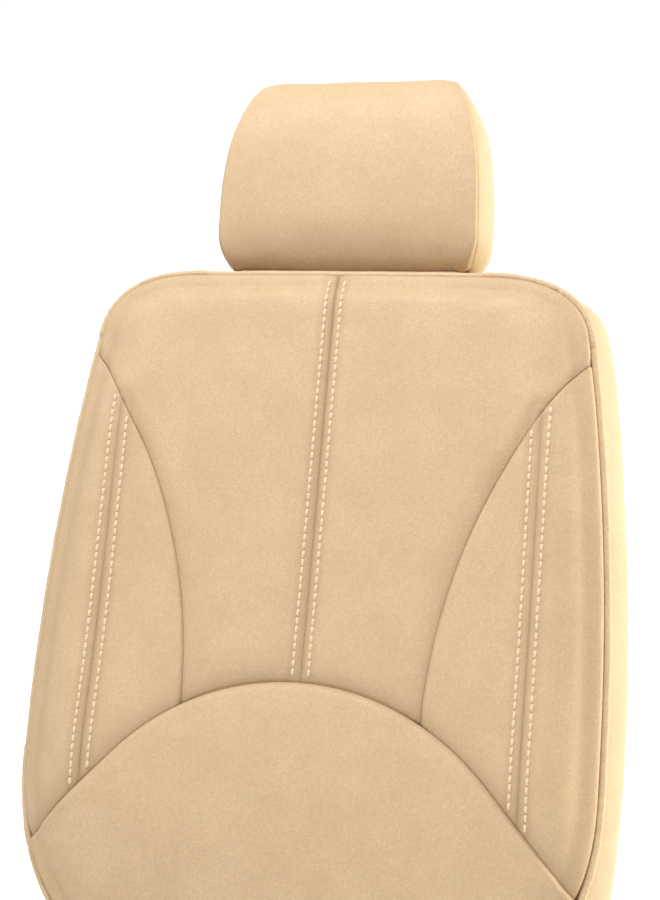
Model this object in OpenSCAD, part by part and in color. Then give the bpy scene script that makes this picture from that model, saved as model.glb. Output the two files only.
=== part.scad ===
// Fitted cover set for a vehicle front seat: a backrest cover and a headrest cover, in the shape
// they take on the seat. Both are hollow. +Z runs up the backrest, -Y is the side the sitter
// leans on, and the origin is in the bottom opening, below the line of the headrest posts.

/* [Backrest cover] */
// Width across the front seam at its widest
back_w = 512; // [500:2:520]
// Height from the bottom seam to the top seam
back_h = 616; // [608:2:630]
// Depth from the front plane to the outside of the back panel
back_d = 100; // [96:1:106]
// Height at which the sides start to narrow
wide_z = 210; // [190:5:230]
// Narrowing of each side, per metre of height squared
side_taper = 222; // [180:2:240]
// Width of the rounded shoulders
shoulder_x = 88; // [80:1:96]
// Width of the rounded lower corners
hip_x = 100; // [90:1:110]
// Height at which the shoulders start
shoulder_z = 555; // [545:1:560]
// Height up to which the lower corners are rounded
hip_z = 170; // [150:5:200]
// Width of the upper corners of the back, which are squarer than those of the face
rear_shoulder_x = 42; // [34:2:60]
// Width of the lower corners of the back
rear_hip_x = 60; // [50:2:80]

/* [Padding] */
// Roll-back of the face at the edge seam
edge_roll = 20; // [14:1:22]
// Extra roll-back at the bottom seam
tuck = 15; // [10:1:18]
// Height of the side bolsters over the centre
bolster_h = 9; // [5:1:12]
// Outward swell of the side strips
side_swell = 7; // [2:1:9]
// Forward swell of the lower back
lumbar = 11; // [6:1:14]
// Forward swell across the whole face
crown = 5; // [2:1:8]
// Thickness of the outer leatherette
skin = 1.5; // [1.2:0.1:1.8]
// Thickness of the foam interlining
foam = 5; // [4:0.5:6]
// Thickness of the laminated side and top strips
strip = 4; // [3:0.5:4.5]

/* [Seams] */
// Height of the crown of the lower panel's arched seam
arch_top = 246; // [236:2:256]
// Radius of the arched seam
arch_r = 225; // [215:5:235]
// Half angle of the arc before the seam runs straight
arch_angle = 47.5; // [45:0.5:50]
// Distance of the curved side seams from the centre at their foot
curve_x = 107; // [100:1:115]
// Radius of the curved side seams
curve_r = 500; // [490:1:510]
// Distance of the double-stitched bolster seams from the centre
bolster_x = 193; // [188:1:196]
// Diameter of the piping round the face
piping_d = 6; // [4:0.5:6.5]

/* [Headrest cover] */
// Half width at the widest
head_w = 128; // [124:1:132]
// Height
head_h = 192; // [180:2:200]
// Depth
head_d = 100; // [94:1:104]
// Narrowing of each side at the top
head_taper = 36; // [30:1:50]
// Clear height between the backrest's top strip and the headrest cover
head_gap = 5.5; // [5:0.5:9]
// Distance of each headrest post from the centre
post_x = 72.5; // [65:0.5:80]
// Radius of the holes for the posts in the backrest cover
eyelet_r = 8; // [7.6:0.1:8.4]
// Radius of the holes for the posts in the headrest cover
post_hole_r = 7.5; // [7:0.1:7.5]

/* [Back and fastenings] */
// Distance of each zipper from the centre
zip_x = 171; // [168:1:174]
// Height of the top of the zippers
zip_top = 440; // [420:2:450]
// Half width of the map pocket
pocket_w = 140; // [120:2:150]
// Height of the pocket's foot
pocket_z0 = 70; // [60:2:90]
// Height of the pocket's mouth
pocket_z1 = 310; // [280:2:330]
// Depth of the pocket
pocket_d = 12; // [10:1:14]
// Distance of the hook straps from the centre
strap_x = 134.5; // [133:0.5:136]

/* [Hidden] */
$fn = 48;
front_y = -55;
back_y = front_y + back_d;
half_w = back_w / 2;
shoulder_power = 2.6;
hip_power = 2;
roll_power = 3.5;
rear_shoulder_z = 582;
rear_hip_z = 100;
top_rise = 2;
top_z = back_h + top_rise;
ply_gap = 0.2;
foam_gap = 0.4;
trim = 0.004;
edge_inset = 2.4;
panel = 3;
seam_gap = 4.3;
head_y = -8;
head_bottom = top_z + head_gap;
head_z = head_bottom + head_h / 2;
head_power = 3.2;
head_wide_z = head_bottom + 36;
head_roll = 6;
head_flare = 5;
head_skin = skin + 0.5;
arch_z = arch_top - arch_r;
arch_end_x = arch_r * sin(arch_angle);
arch_end_z = arch_z + arch_r * cos(arch_angle);
curve_z = 210;
chain_y = back_y - 1.2;
chain_w = 2.2;
chain_gap = 0.6;
chain_t = 2.4;
tape_w = 5.6;
zip_z0 = 16;
slider_z = zip_z0 + 8.2;
bridge_y = back_y + 5.2;
flap_z = -4.6;
flap_t = 3;
flap_w = 122;
hinge_y = front_y + edge_roll + tuck;
strap_drop = 46;
strap_y = back_y - panel - 1;
wire_r = 1.6;
hook_z = -strap_drop - 2;
plastic = "#3a3632";
leather = "#dcbc8c";
knit = "#a08a68";
foam_grey = "#d8d4c8";
steel = "#b4b6b8";

// ---- Outline and face of the backrest ----

function unit(k) = min(1, max(0, k));
function side_x(z) = half_w - side_taper * pow(max(0, z - wide_z) / 1000, 2);
function end_share(z) = z > wide_z ? unit((z - shoulder_z) / (back_h - shoulder_z))
    : unit((hip_z - z) / hip_z);
function corner_power(z) = z > wide_z ? shoulder_power : hip_power;
function corner_x(z) = shoulder_x + (hip_x - shoulder_x) * unit((400 - z) / 250);
// Half width of the edge seam at a height.
function edge_x(z) = let (k = corner_power(z))
    side_x(z) - corner_x(z) * (1 - pow(max(0, 1 - pow(end_share(z), k)), 1 / k));
// How far a point is towards the edge seam: 0 in the middle and 1 on the seam.
function edge_share(x, z) = let (
        across = unit((abs(x) - side_x(z) + corner_x(z)) / corner_x(z)),
        k = corner_power(z))
    unit(pow(pow(across, k) + pow(end_share(z), k), 1 / k));
function swell(offset, width) = exp(-pow(offset / width, 2));
function bolster_fade(z) = unit((z - 60) / 120) * unit((590 - z) / 120);
// Depth of the outer face at a point.
function face_y(x, z) = front_y
    - crown * (1 - pow(x / side_x(z), 2))
    - lumbar * swell(z - 150, 95) * (1 - pow(x / side_x(z), 4))
    - bolster_h * swell(abs(x) - side_x(z) + 44, 26) * bolster_fade(z)
    + edge_roll * (1 - pow(1 - pow(edge_share(x, z), roll_power), 1 / roll_power))
    + tuck * pow(z < hip_z ? end_share(z) : 0, 3);
// A point of the face, moved in from it by a depth.
function face_point(p, depth) = let (
        x = p[0] * 0.98,
        z = p[1] + (wide_z - p[1]) * 0.02,
        slope_x = (face_y(x + 1, z) - face_y(x - 1, z)) / 2,
        slope_z = (face_y(x, z + 1) - face_y(x, z - 1)) / 2,
        inward = [-slope_x, 1, -slope_z])
    [p[0], face_y(p[0], p[1]), p[1]] + depth * inward / norm(inward);

// ---- Seam lines, as points across and up ----

function arch_at(x) = abs(x) < arch_end_x ? arch_z + sqrt(arch_r * arch_r - x * x)
    : arch_end_z - (abs(x) - arch_end_x) * tan(arch_angle);
function curve_at(z) = curve_x + curve_r - sqrt(curve_r * curve_r - pow(z - curve_z, 2));
function arch_line(x0, x1, n) = [for (i = [0:n]) let (x = x0 + (x1 - x0) * i / n) [x, arch_at(x)]];
function curve_line(z0, z1, n) = [for (i = [0:n]) let (z = z0 + (z1 - z0) * i / n) [curve_at(z), z]];
function upright(x, z0, z1, n) = [for (i = [0:n]) [x, z0 + (z1 - z0) * i / n]];
function edge_line(z0, z1, n, inset = 0) =
    [for (i = [0:n]) let (z = z0 + (z1 - z0) * i / n) [edge_x(z) - inset, z]];
// An upper corner of a width, from the height where it leaves the side to the straight top.
function upper_corner(width, from, n, inset = 0) = [for (i = [0:n]) let (
        a = 90 * i / n,
        z = from + (back_h - inset - from) * pow(sin(a), 2 / shoulder_power))
    [side_x(z) - width + (width - inset) * pow(cos(a), 2 / shoulder_power), z]];
// A lower corner of a width, from the straight bottom to the height where it meets the side.
function lower_corner(width, to, n) = [for (i = [0:n]) let (
        a = 90 * i / n,
        z = to * (1 - pow(cos(a), 2 / hip_power)))
    [side_x(z) - width + width * pow(sin(a), 2 / hip_power), z]];
function backwards(line) = [for (i = [len(line) - 1:-1:0]) line[i]];
function tail(line) = [for (i = [1:len(line) - 1]) line[i]];
function part_of(line, k) = let (at = k * (len(line) - 1), i = min(floor(at), len(line) - 2))
    line[i] + (line[i + 1] - line[i]) * (at - i);
function evenly(line, n) = [for (i = [0:n]) part_of(line, i / n)];

curve_foot = arch_at(curve_x + 0.1);
bolster_foot = arch_at(bolster_x);
bolster_head = curve_z + sqrt(curve_r * curve_r - pow(curve_x + curve_r - bolster_x, 2));
curve_head = curve_z + 328;

// Points over a patch with four sides: left and right run up, bottom and top run across. A
// small share is trimmed off all round, so that neighbouring patches stay apart at their seam.
function patch(left, right, bottom, top) = let (m = len(left) - 1, n = len(bottom) - 1)
    [for (j = [0:m]) [for (i = [0:n]) let (
            s = trim + (1 - 2 * trim) * i / n,
            t = trim + (1 - 2 * trim) * j / m)
        (1 - s) * part_of(left, t) + s * part_of(right, t)
        + (1 - t) * part_of(bottom, s) + t * part_of(top, s)
        - (1 - s) * ((1 - t) * bottom[0] + t * top[0])
        - s * ((1 - t) * bottom[n] + t * top[n])]];

function centre_top(inset) = concat(
    [for (i = [0:3]) [i / 4 * bottom_top(inset), back_h - inset]],
    backwards(upper_corner(shoulder_x, shoulder_z, 6, inset)),
    backwards(edge_line(curve_head, shoulder_z - 8, 1, inset)));
function bottom_top(inset) = side_x(back_h - inset) - shoulder_x;
function curve_tip(inset) = [edge_x(curve_head) - inset, curve_head];
function curve_side(inset) = concat(curve_line(curve_foot, curve_head - 14, 10), [curve_tip(inset)]);
function centre_patch(inset) = patch(
    upright(0, arch_top, back_h - inset, 11),
    curve_side(inset),
    arch_line(0, curve_x, len(centre_top(inset)) - 1),
    centre_top(inset));
function inner_patch() = patch(
    curve_line(curve_foot, bolster_head, 8),
    upright(bolster_x, bolster_foot, bolster_head, 8),
    arch_line(curve_x, bolster_x, 5),
    [for (i = [0:5]) [bolster_x, bolster_head]]);
function outer_patch(inset) = patch(
    concat(upright(bolster_x, bolster_foot, bolster_head, 9),
        tail(curve_line(bolster_head, curve_head - 14, 2)), [curve_tip(inset)]),
    edge_line(arch_foot(inset), curve_head, 12, inset),
    arch_line(bolster_x, edge_x(arch_foot(inset)) - inset, 4),
    [for (i = [0:4]) curve_tip(inset)]);
// Height at which the straight end of the arched seam meets the edge seam.
function arch_foot(inset, z = 80, steps = 12) = steps == 0 ? z
    : arch_foot(inset, arch_at(edge_x(z) - inset), steps - 1);
function lower_side(inset) = evenly(concat(
        [for (p = lower_corner(hip_x, hip_z, 10)) if (p[1] < arch_foot(inset) - 8)
            [p[0] - inset, max(p[1], 0)]],
        [[edge_x(arch_foot(inset)) - inset, arch_foot(inset)]]), 8);
function lower_patch(inset) = let (right = lower_side(inset), left = [for (p = right) [-p[0], p[1]]])
    patch(left, right,
        [for (i = [0:18]) [lower_side(inset)[0][0] * (i / 9 - 1), 0]],
        arch_line(-right[8][0], right[8][0], 18));

// ---- Solids from grids of points ----

// A closed solid between two grids of the same size. Rows run along the first grid's second
// direction, and the first grid is the outside: across times up points out of it.
module slab(outer, inner) {
    m = len(outer) - 1;
    n = len(outer[0]) - 1;
    count = (m + 1) * (n + 1);
    points = concat([for (row = outer) each row], [for (row = inner) each row]);
    rim = concat(
        [for (j = [0:m - 1]) j * (n + 1)], [for (i = [0:n - 1]) m * (n + 1) + i],
        [for (j = [m:-1:1]) j * (n + 1) + n], [for (i = [n:-1:1]) i]);
    cells = [for (j = [0:m - 1], i = [0:n - 1])
        [j * (n + 1) + i, (j + 1) * (n + 1) + i, (j + 1) * (n + 1) + i + 1, j * (n + 1) + i + 1]];
    polyhedron(points, concat(
        [for (c = cells) each [[c[0], c[1], c[2]], [c[0], c[2], c[3]]]],
        [for (c = cells) each [[c[2] + count, c[1] + count, c[0] + count],
            [c[3] + count, c[2] + count, c[0] + count]]],
        [for (k = [0:len(rim) - 1]) let (p = rim[k], q = rim[(k + 1) % len(rim)])
            each [[q, p, p + count], [q, p + count, q + count]]]));
}

// A layer of the face, from one depth behind it to another.
module face_layer(grid, near, far) {
    slab([for (row = grid) [for (p = row) face_point(p, near)]],
        [for (row = grid) [for (p = row) face_point(p, far)]]);
}

module on_left() {
    mirror([1, 0, 0]) children();
}

// ---- Face of the backrest cover ----

module centre_panel() {
    color(leather) face_layer(centre_patch(edge_inset), 0, skin);
}

module inner_bolster() {
    color(leather) face_layer(inner_patch(), 0, skin);
}

module outer_bolster() {
    color(leather) face_layer(outer_patch(edge_inset), 0, skin);
}

module lower_panel() {
    color(leather) face_layer(lower_patch(edge_inset), 0, skin);
}

// Foam interlining behind a panel, cut to the panel's own outline.
module interlining(grid) {
    color(foam_grey) face_layer(grid, skin + foam_gap, skin + foam_gap + foam);
}

module centre_foam() {
    interlining(centre_patch(edge_inset));
}

module inner_foam() {
    interlining(inner_patch());
}

module outer_foam() {
    interlining(outer_patch(edge_inset));
}

module lower_foam() {
    interlining(lower_patch(edge_inset));
}

// ---- Edge of the backrest cover ----

// The edge seam on the right, from the bottom up over the shoulder to the middle of the top.
function seam_path() = concat(lower_corner(hip_x, hip_z, 7), tail(edge_line(hip_z, shoulder_z, 8)),
    tail(upper_corner(shoulder_x, shoulder_z, 8)), [[bottom_top(0) / 2, back_h], [0, back_h]]);
// The outline of the back, with as many points as the edge seam.
function rear_path() = concat(lower_corner(rear_hip_x, rear_hip_z, 7),
    [for (i = [1:8]) let (z = rear_hip_z + (rear_shoulder_z - rear_hip_z) * i / 8) [side_x(z), z]],
    tail(upper_corner(rear_shoulder_x, rear_shoulder_z, 8)),
    [[bottom_top(0) / 2, back_h], [0, back_h]]);
function side_normal(path, i) = let (
        a = path[max(0, i - 1)],
        b = path[min(len(path) - 1, i + 1)],
        d = (b - a) / norm(b - a))
    i == len(path) - 1 ? [0, 1] : [d[1], -d[0]];
shoulder_joint = 19;

module front_piping() {
    path = seam_path();
    sides = 8;
    half = [for (i = [0:len(path) - 1]) let (p = path[i], out = side_normal(path, i))
        [for (s = [0:sides - 1]) let (a = 360 * s / sides, r = piping_d / 2)
            [p[0] + (r * cos(a) + 0.9) * out[0],
                face_y(p[0], p[1]) + 0.9 + r * sin(a),
                p[1] + (r * cos(a) + 0.9) * out[1]]]];
    other = [for (i = [len(half) - 2:-1:0]) [for (p = half[i]) [-p[0], p[1], p[2]]]];
    rings = concat(half, other);
    last = len(rings) - 1;
    color(leather) polyhedron([for (ring = rings) each ring], concat(
        [[for (s = [0:sides - 1]) s]],
        [[for (s = [sides - 1:-1:0]) last * sides + s]],
        [for (j = [0:last - 1], s = [0:sides - 1]) let (
            a = j * sides + s,
            b = j * sides + (s + 1) % sides)
            each [[a, a + sides, b + sides], [a, b + sides, b]]]));
}

// A strip between the edge seam and the back, over a stretch of the seam's points.
module edge_strip(first, last) {
    path = seam_path();
    rear = rear_path();
    rows = [for (i = [first:last]) let (p = path[i], q = rear[i], out = side_normal(path, i),
            y0 = face_y(p[0], p[1]) + seam_gap, y1 = back_y - panel - ply_gap,
            swell = top_rise + (side_swell - top_rise) * pow(out[0], 2))
        [for (k = [0:3]) let (
                y = [y0, y0 + 16, y1 - 22, y1][k],
                rise = [0, 1, 1, 0][k] * swell,
                at = p + (q - p) * (y - y0) / (y1 - y0))
            [[at[0], y, at[1]] + rise * [out[0], 0, out[1]], [out[0], 0, out[1]]]]];
    slab([for (row = rows) [for (c = row) c[0]]],
        [for (row = rows) [for (c = row) c[0] - strip * c[1]]]);
}

module side_strip() {
    color(leather) edge_strip(0, shoulder_joint);
}

module top_strip() {
    last = len(seam_path()) - 1;
    color(leather) difference() {
        union() {
            edge_strip(shoulder_joint, last);
            on_left() edge_strip(shoulder_joint, last);
        }
        for (x = [-post_x, post_x])
            translate([x, 0, top_z - 2 * strip]) cylinder(r = eyelet_r + 1.9, h = 4 * strip);
    }
}

// A moulded eyelet: flange on top, barrel through the strip, and a lip under the washer.
module eyelet() {
    r = eyelet_r;
    color(leather) translate([post_x, 0, top_z]) rotate_extrude() polygon([
        [r, 1.5], [r + 4.2, 1.5], [r + 5, 0.8], [r + 5, 0.1], [r + 1.4, 0.1],
        [r + 1.4, -strip - 1.9], [r + 2.4, -strip - 1.9], [r + 2.4, -strip - 2.7],
        [r, -strip - 2.7]]);
}

module eyelet_washer() {
    color(leather) translate([post_x, 0, top_z - strip - 1.8]) difference() {
        cylinder(r = eyelet_r + 5, h = 1.6);
        translate([0, 0, -1]) cylinder(r = eyelet_r + 1.6, h = 4);
    }
}

// ---- Back of the cover ----

module back_plate(points) {
    translate([0, back_y, 0]) rotate([90, 0, 0]) linear_extrude(panel) polygon(points);
}

module back_yoke() {
    right = concat([[side_x(zip_top + 0.3), zip_top + 0.3]],
        [for (p = rear_path()) if (p[1] > zip_top + 5) p]);
    color(knit) back_plate(concat(right, [for (p = tail(backwards(right))) [-p[0], p[1]]]));
}

module back_panel() {
    w = zip_x - 6;
    color(knit) back_plate([[-w, 0], [w, 0], [w, zip_top], [-w, zip_top]]);
}

module back_side() {
    outer = [for (p = rear_path()) if (p[1] < zip_top - 5 && p[0] > zip_x + 6) p];
    color(knit) back_plate(concat([[zip_x + 6, 0]], outer,
        [[side_x(zip_top), zip_top], [zip_x + 6, zip_top]]));
}

// Two tapes, each with its row of teeth, with a slot for the slider's wedge between them.
module zipper() {
    color(plastic) for (side = [-1, 1]) translate([zip_x, chain_y, zip_z0]) {
        x = side * (chain_gap / 2 + chain_w / 2);
        union() {
            translate([x - chain_w / 2, -chain_t / 2, 0]) cube([chain_w, chain_t, zip_top - zip_z0 - 2]);
            translate([side > 0 ? chain_gap / 2 : -chain_gap / 2 - tape_w, -0.4, 0])
                cube([tape_w, 0.8, zip_top - zip_z0 - 2]);
        }
    }
}

module zipper_stops() {
    box = 13;
    color(plastic) for (side = [-1, 1]) translate([side * zip_x - 3.4, chain_y - 1.7, 0]) {
        translate([0, 0, zip_z0 - ply_gap - box]) cube([6.8, 3.4, box]);
        translate([0, 0, zip_top - 1.8]) cube([6.8, 3.4, 1.6]);
    }
}

// Slider: two plates joined by a wedge that runs between the rows of teeth, and a bridge.
module zipper_slider() {
    plate_y = chain_t / 2 + 0.25;
    color(steel) translate([zip_x, chain_y, slider_z]) {
        difference() {
            union() {
                for (side = [-1, 1]) translate([0, side * (plate_y + 0.6), 0])
                    rotate([90, 0, 0]) linear_extrude(1.2, center = true)
                        polygon([[-3.4, -8], [3.4, -8], [4.6, 6], [2.6, 8], [-2.6, 8], [-4.6, 6]]);
                translate([-0.2, -plate_y - 0.3, -4]) cube([0.4, 2 * plate_y + 0.6, 8]);
                translate([-1, plate_y + 0.9, -3]) cube([2, 5, 6]);
            }
            translate([-2, bridge_y - chain_y, 0]) rotate([0, 90, 0]) cylinder(r = 1.1, h = 4);
        }
    }
}

// Pull: a tab that hangs from a pin through the slider's bridge.
module zipper_pull() {
    color(steel) translate([zip_x, bridge_y, slider_z]) {
        rotate([0, 90, 0]) cylinder(r = 0.9, h = 5.4, center = true);
        for (side = [-1, 1]) translate([side * 2.1 - 0.6, -1.1, -8]) cube([1.2, 2.2, 9.1]);
        difference() {
            translate([-4, -0.8, -32]) cube([8, 1.6, 25]);
            translate([0, 2, -27.5]) rotate([90, 0, 0]) cylinder(r = 2.2, h = 4);
        }
    }
}

// A shallow bag open at the top, sewn to the back panel along its foot and sides.
module map_pocket() {
    slope = 14;
    wall = 1.5;
    color(knit) translate([0, back_y + ply_gap, 0]) difference() {
        hull() {
            translate([-pocket_w, 0, pocket_z0]) cube([2 * pocket_w, 1.2, pocket_z1 - pocket_z0]);
            translate([slope - pocket_w, pocket_d - 0.1, pocket_z0 + slope])
                cube([2 * (pocket_w - slope), 0.1, pocket_z1 - pocket_z0 - slope]);
        }
        hull() {
            translate([8 - pocket_w, -1, pocket_z0 + 8])
                cube([2 * (pocket_w - 8), 1, pocket_z1 - pocket_z0]);
            translate([slope + 1 - pocket_w, pocket_d - wall - 0.1, pocket_z0 + slope + 1])
                cube([2 * (pocket_w - slope - 1), 0.1, pocket_z1 - pocket_z0]);
        }
    }
}

module pocket_binding() {
    w = pocket_w - 16;
    color(plastic) translate([-w, back_y + pocket_d + 2 * ply_gap, pocket_z1 - 14])
        cube([2 * w, 1.2, 14]);
}

module rear_hem() {
    w = zip_x - 16;
    color(leather) translate([-w, back_y + ply_gap, 0]) cube([2 * w, 1.4, 16]);
}

// ---- Bottom fastenings ----

// Loop strip under the rear hem, and the flap that comes back to it through the seat's gap.
module hem_loop_strip() {
    color(plastic) translate([-100, back_y - panel, -1.2]) cube([200, panel, 1]);
}

// The flap folds down about the rolled hem along its front edge.
module bottom_flap() {
    color(leather) {
        translate([0, 0, flap_z]) linear_extrude(flap_t) polygon([
            [-flap_w, hinge_y], [flap_w, hinge_y], [flap_w - 14, back_y - 2],
            [flap_w - 26, back_y + 6], [26 - flap_w, back_y + 6], [14 - flap_w, back_y - 2]]);
        translate([0, hinge_y, flap_z + flap_t / 2]) rotate([0, 90, 0])
            cylinder(d = flap_t, h = 2 * flap_w, center = true);
    }
}

module flap_hook_strip() {
    color(plastic) translate([-100, back_y - panel, flap_z + flap_t + 0.02])
        cube([200, panel, 0.3]);
}

// Elastic strap sewn inside the back, with a loop round the hook's bar at its end.
module strap() {
    color(plastic) translate([strap_x, strap_y, 0]) {
        difference() {
            union() {
                translate([-10, -0.8, hook_z + 2]) cube([20, 1.6, 22 - hook_z]);
                translate([0, 0, hook_z]) rotate([0, 90, 0])
                    cylinder(r = wire_r + 1.8, h = 20, center = true);
            }
            translate([0, 0, hook_z]) rotate([0, 90, 0])
                cylinder(r = wire_r + 0.4, h = 22, center = true);
        }
    }
}

// Bent wire hook: a bar through the strap's loop, two legs, and a shank with an open hook.
module steel_hook() {
    bar = 13;
    leg = 12;
    bow = 9;
    color(steel) translate([strap_x, strap_y, hook_z]) {
        rotate([0, 90, 0]) cylinder(r = wire_r, h = 2 * bar, center = true);
        for (side = [-1, 1]) {
            translate([side * bar, 0, -leg]) cylinder(r = wire_r, h = leg);
            translate([side * bar, 0, 0]) sphere(r = wire_r);
            translate([side * bar, 0, -leg]) sphere(r = wire_r);
        }
        translate([0, 0, -leg]) rotate([0, 90, 0]) cylinder(r = wire_r, h = 2 * bar, center = true);
        translate([0, 0, -leg - 16]) cylinder(r = wire_r, h = 16);
        translate([0, bow, -leg - 16]) rotate([0, 90, 0]) rotate([0, 0, -90])
            rotate_extrude(angle = 180) translate([bow, 0]) circle(r = wire_r);
        translate([0, 2 * bow, -leg - 16]) sphere(r = wire_r);
        translate([0, 2 * bow, -leg - 16]) cylinder(r = wire_r, h = 7);
        translate([0, 2 * bow, -leg - 9]) sphere(r = wire_r);
    }
}

// ---- Headrest cover ----

function signed_power(v, k) = sign(v) * pow(abs(v), k);
function head_x(z) = head_w
    - head_taper * pow(max(0, z - head_wide_z) / (head_h - 36), 3)
    - 18 * pow(max(0, head_wide_z - z) / 36, 2);
// A point of the wrap: turn runs from the front through the top to the back, 0 is forward.
function head_point(turn, share, depth) = let (
        roll = head_roll * (1 - pow(1 - pow(abs(share), 4), 0.25)),
        y = head_y - signed_power(cos(turn), 2 / head_power) * (head_d / 2 - roll - depth),
        z = head_z + signed_power(sin(turn), 2 / head_power) * (head_h / 2 - roll - depth))
    [share * (head_x(z) - 1 - head_flare * abs(cos(turn))), y, z];
// A layer of the headrest cover between two depths. The layers share one lattice of turns and
// shares, and margin leaves out that many cells all round.
module headrest_layer(near, far, margin) {
    from = -75;
    turns = 30;
    turn_step = 11;
    cross = 10;
    lattice = [for (j = [margin:turns - margin]) [for (i = [margin:cross - margin])
        [from + j * turn_step, sin(90 * (2 * i / cross - 1))]]];
    slab([for (row = lattice) [for (p = row) head_point(p[0], p[1], near)]],
        [for (row = lattice) [for (p = row) head_point(p[0], p[1], far)]]);
}

module headrest_wrap() {
    color(leather) headrest_layer(0, head_skin, 0);
}

module headrest_foam() {
    color(foam_grey) headrest_layer(head_skin + foam_gap, head_skin + foam_gap + foam, 1);
}

// Side of the headrest cover: its rim lies inside the wrap's edge.
module headrest_side() {
    inset = head_roll + 4.5;
    rows = 12;
    cols = 4;
    function side_point(j, i, x) = let (
            a = -80 + 160 * j / rows,
            z = head_z + signed_power(sin(a), 2 / head_power) * (head_h / 2 - inset),
            y = head_y + (2 * i / cols - 1) * signed_power(cos(a), 2 / head_power) * (head_d / 2 - inset),
            puff = (head_flare + 3) * cos(90 * (2 * i / cols - 1)) * cos(a))
        [head_x(z) - head_flare + puff + x, y, z];
    color(leather) slab([for (j = [0:rows]) [for (i = [0:cols]) side_point(j, i, 0)]],
        [for (j = [0:rows]) [for (i = [0:cols]) side_point(j, i, -panel)]]);
}

// Closing panel under the headrest, with the holes for the posts.
module headrest_closure() {
    w = head_w - 22;
    color(leather) translate([0, 0, head_bottom + 0.4]) difference() {
        linear_extrude(panel) polygon([
            [4 - w, -26], [w - 4, -26], [w, -22], [w, 6], [w - 4, 10], [4 - w, 10], [-w, 6], [-w, -22]]);
        for (x = [-post_x, post_x])
            translate([x, 0, -1]) cylinder(r = post_hole_r, h = panel + 2);
    }
}

module closure_hook_strip() {
    color(plastic) translate([-50, 0, head_bottom - 0.7]) cube([100, 9, 1]);
}

module closure_loop_strip() {
    color(plastic) translate([-50, 0, head_bottom - 1.8]) cube([100, 9, 1]);
}

on_left() centre_panel();  // centre_panel_left
centre_panel();  // centre_panel_right
on_left() inner_bolster();  // inner_bolster_left
inner_bolster();  // inner_bolster_right
on_left() outer_bolster();  // outer_bolster_left
outer_bolster();  // outer_bolster_right
lower_panel();
on_left() centre_foam();  // centre_foam_left
centre_foam();  // centre_foam_right
on_left() inner_foam();  // inner_foam_left
on_left() outer_foam();  // outer_foam_left
inner_foam();  // inner_foam_right
outer_foam();  // outer_foam_right
lower_foam();
front_piping();
on_left() side_strip();  // side_strip_left
side_strip();  // side_strip_right
top_strip();
on_left() eyelet();  // eyelet_left
eyelet();  // eyelet_right
on_left() eyelet_washer();  // eyelet_washer_left
eyelet_washer();  // eyelet_washer_right
back_yoke();
back_panel();
on_left() back_side();  // back_side_left
back_side();  // back_side_right
on_left() zipper();  // zipper_left
zipper();  // zipper_right
zipper_stops();
on_left() zipper_slider();  // zipper_slider_left
zipper_slider();  // zipper_slider_right
on_left() zipper_pull();  // zipper_pull_left
zipper_pull();  // zipper_pull_right
map_pocket();
pocket_binding();
rear_hem();
hem_loop_strip();
bottom_flap();
flap_hook_strip();
on_left() strap();  // strap_left
strap();  // strap_right
on_left() steel_hook();  // steel_hook_left
steel_hook();  // steel_hook_right
headrest_wrap();
on_left() headrest_side();  // headrest_side_left
headrest_side();  // headrest_side_right
headrest_foam();
headrest_closure();
closure_hook_strip();
closure_loop_strip();
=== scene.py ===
"""Cover set for a vehicle front seat, in leatherette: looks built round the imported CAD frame."""

import math

import bmesh
import bpy
import numpy as np
from mathutils import Matrix, Vector


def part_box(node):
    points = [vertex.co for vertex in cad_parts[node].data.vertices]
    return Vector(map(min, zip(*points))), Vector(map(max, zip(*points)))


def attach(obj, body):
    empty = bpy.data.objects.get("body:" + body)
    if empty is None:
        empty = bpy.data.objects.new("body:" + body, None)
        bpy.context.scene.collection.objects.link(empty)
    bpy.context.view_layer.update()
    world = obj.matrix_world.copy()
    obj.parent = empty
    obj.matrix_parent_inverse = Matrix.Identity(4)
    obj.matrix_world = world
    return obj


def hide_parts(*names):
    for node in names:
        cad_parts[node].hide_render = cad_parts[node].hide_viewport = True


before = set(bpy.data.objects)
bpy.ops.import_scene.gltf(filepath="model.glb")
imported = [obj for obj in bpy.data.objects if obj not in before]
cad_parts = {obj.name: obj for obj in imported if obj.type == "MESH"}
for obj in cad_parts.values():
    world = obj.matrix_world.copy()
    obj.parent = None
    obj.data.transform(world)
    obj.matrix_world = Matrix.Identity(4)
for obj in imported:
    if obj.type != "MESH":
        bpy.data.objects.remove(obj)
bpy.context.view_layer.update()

MM = 0.001
NAME = {-1: "left", 1: "right"}

# ---- Sizes in millimetres. Places come from the frame. ----


def corners(node):
    """A node's lowest and highest corners, in millimetres."""
    return [np.array(point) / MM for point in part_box(node)]


def middle_x(node):
    low, high = corners(node)
    return (low[0] + high[0]) / 2


BACK, ZIP_TOP = corners("back_panel")[1][1:]
TOP = corners("top_strip")[1][2]
ZIP_X, POST_X, STRAP_X = (middle_x(node) for node in ("zipper_right", "eyelet_right", "strap_right"))

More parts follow.
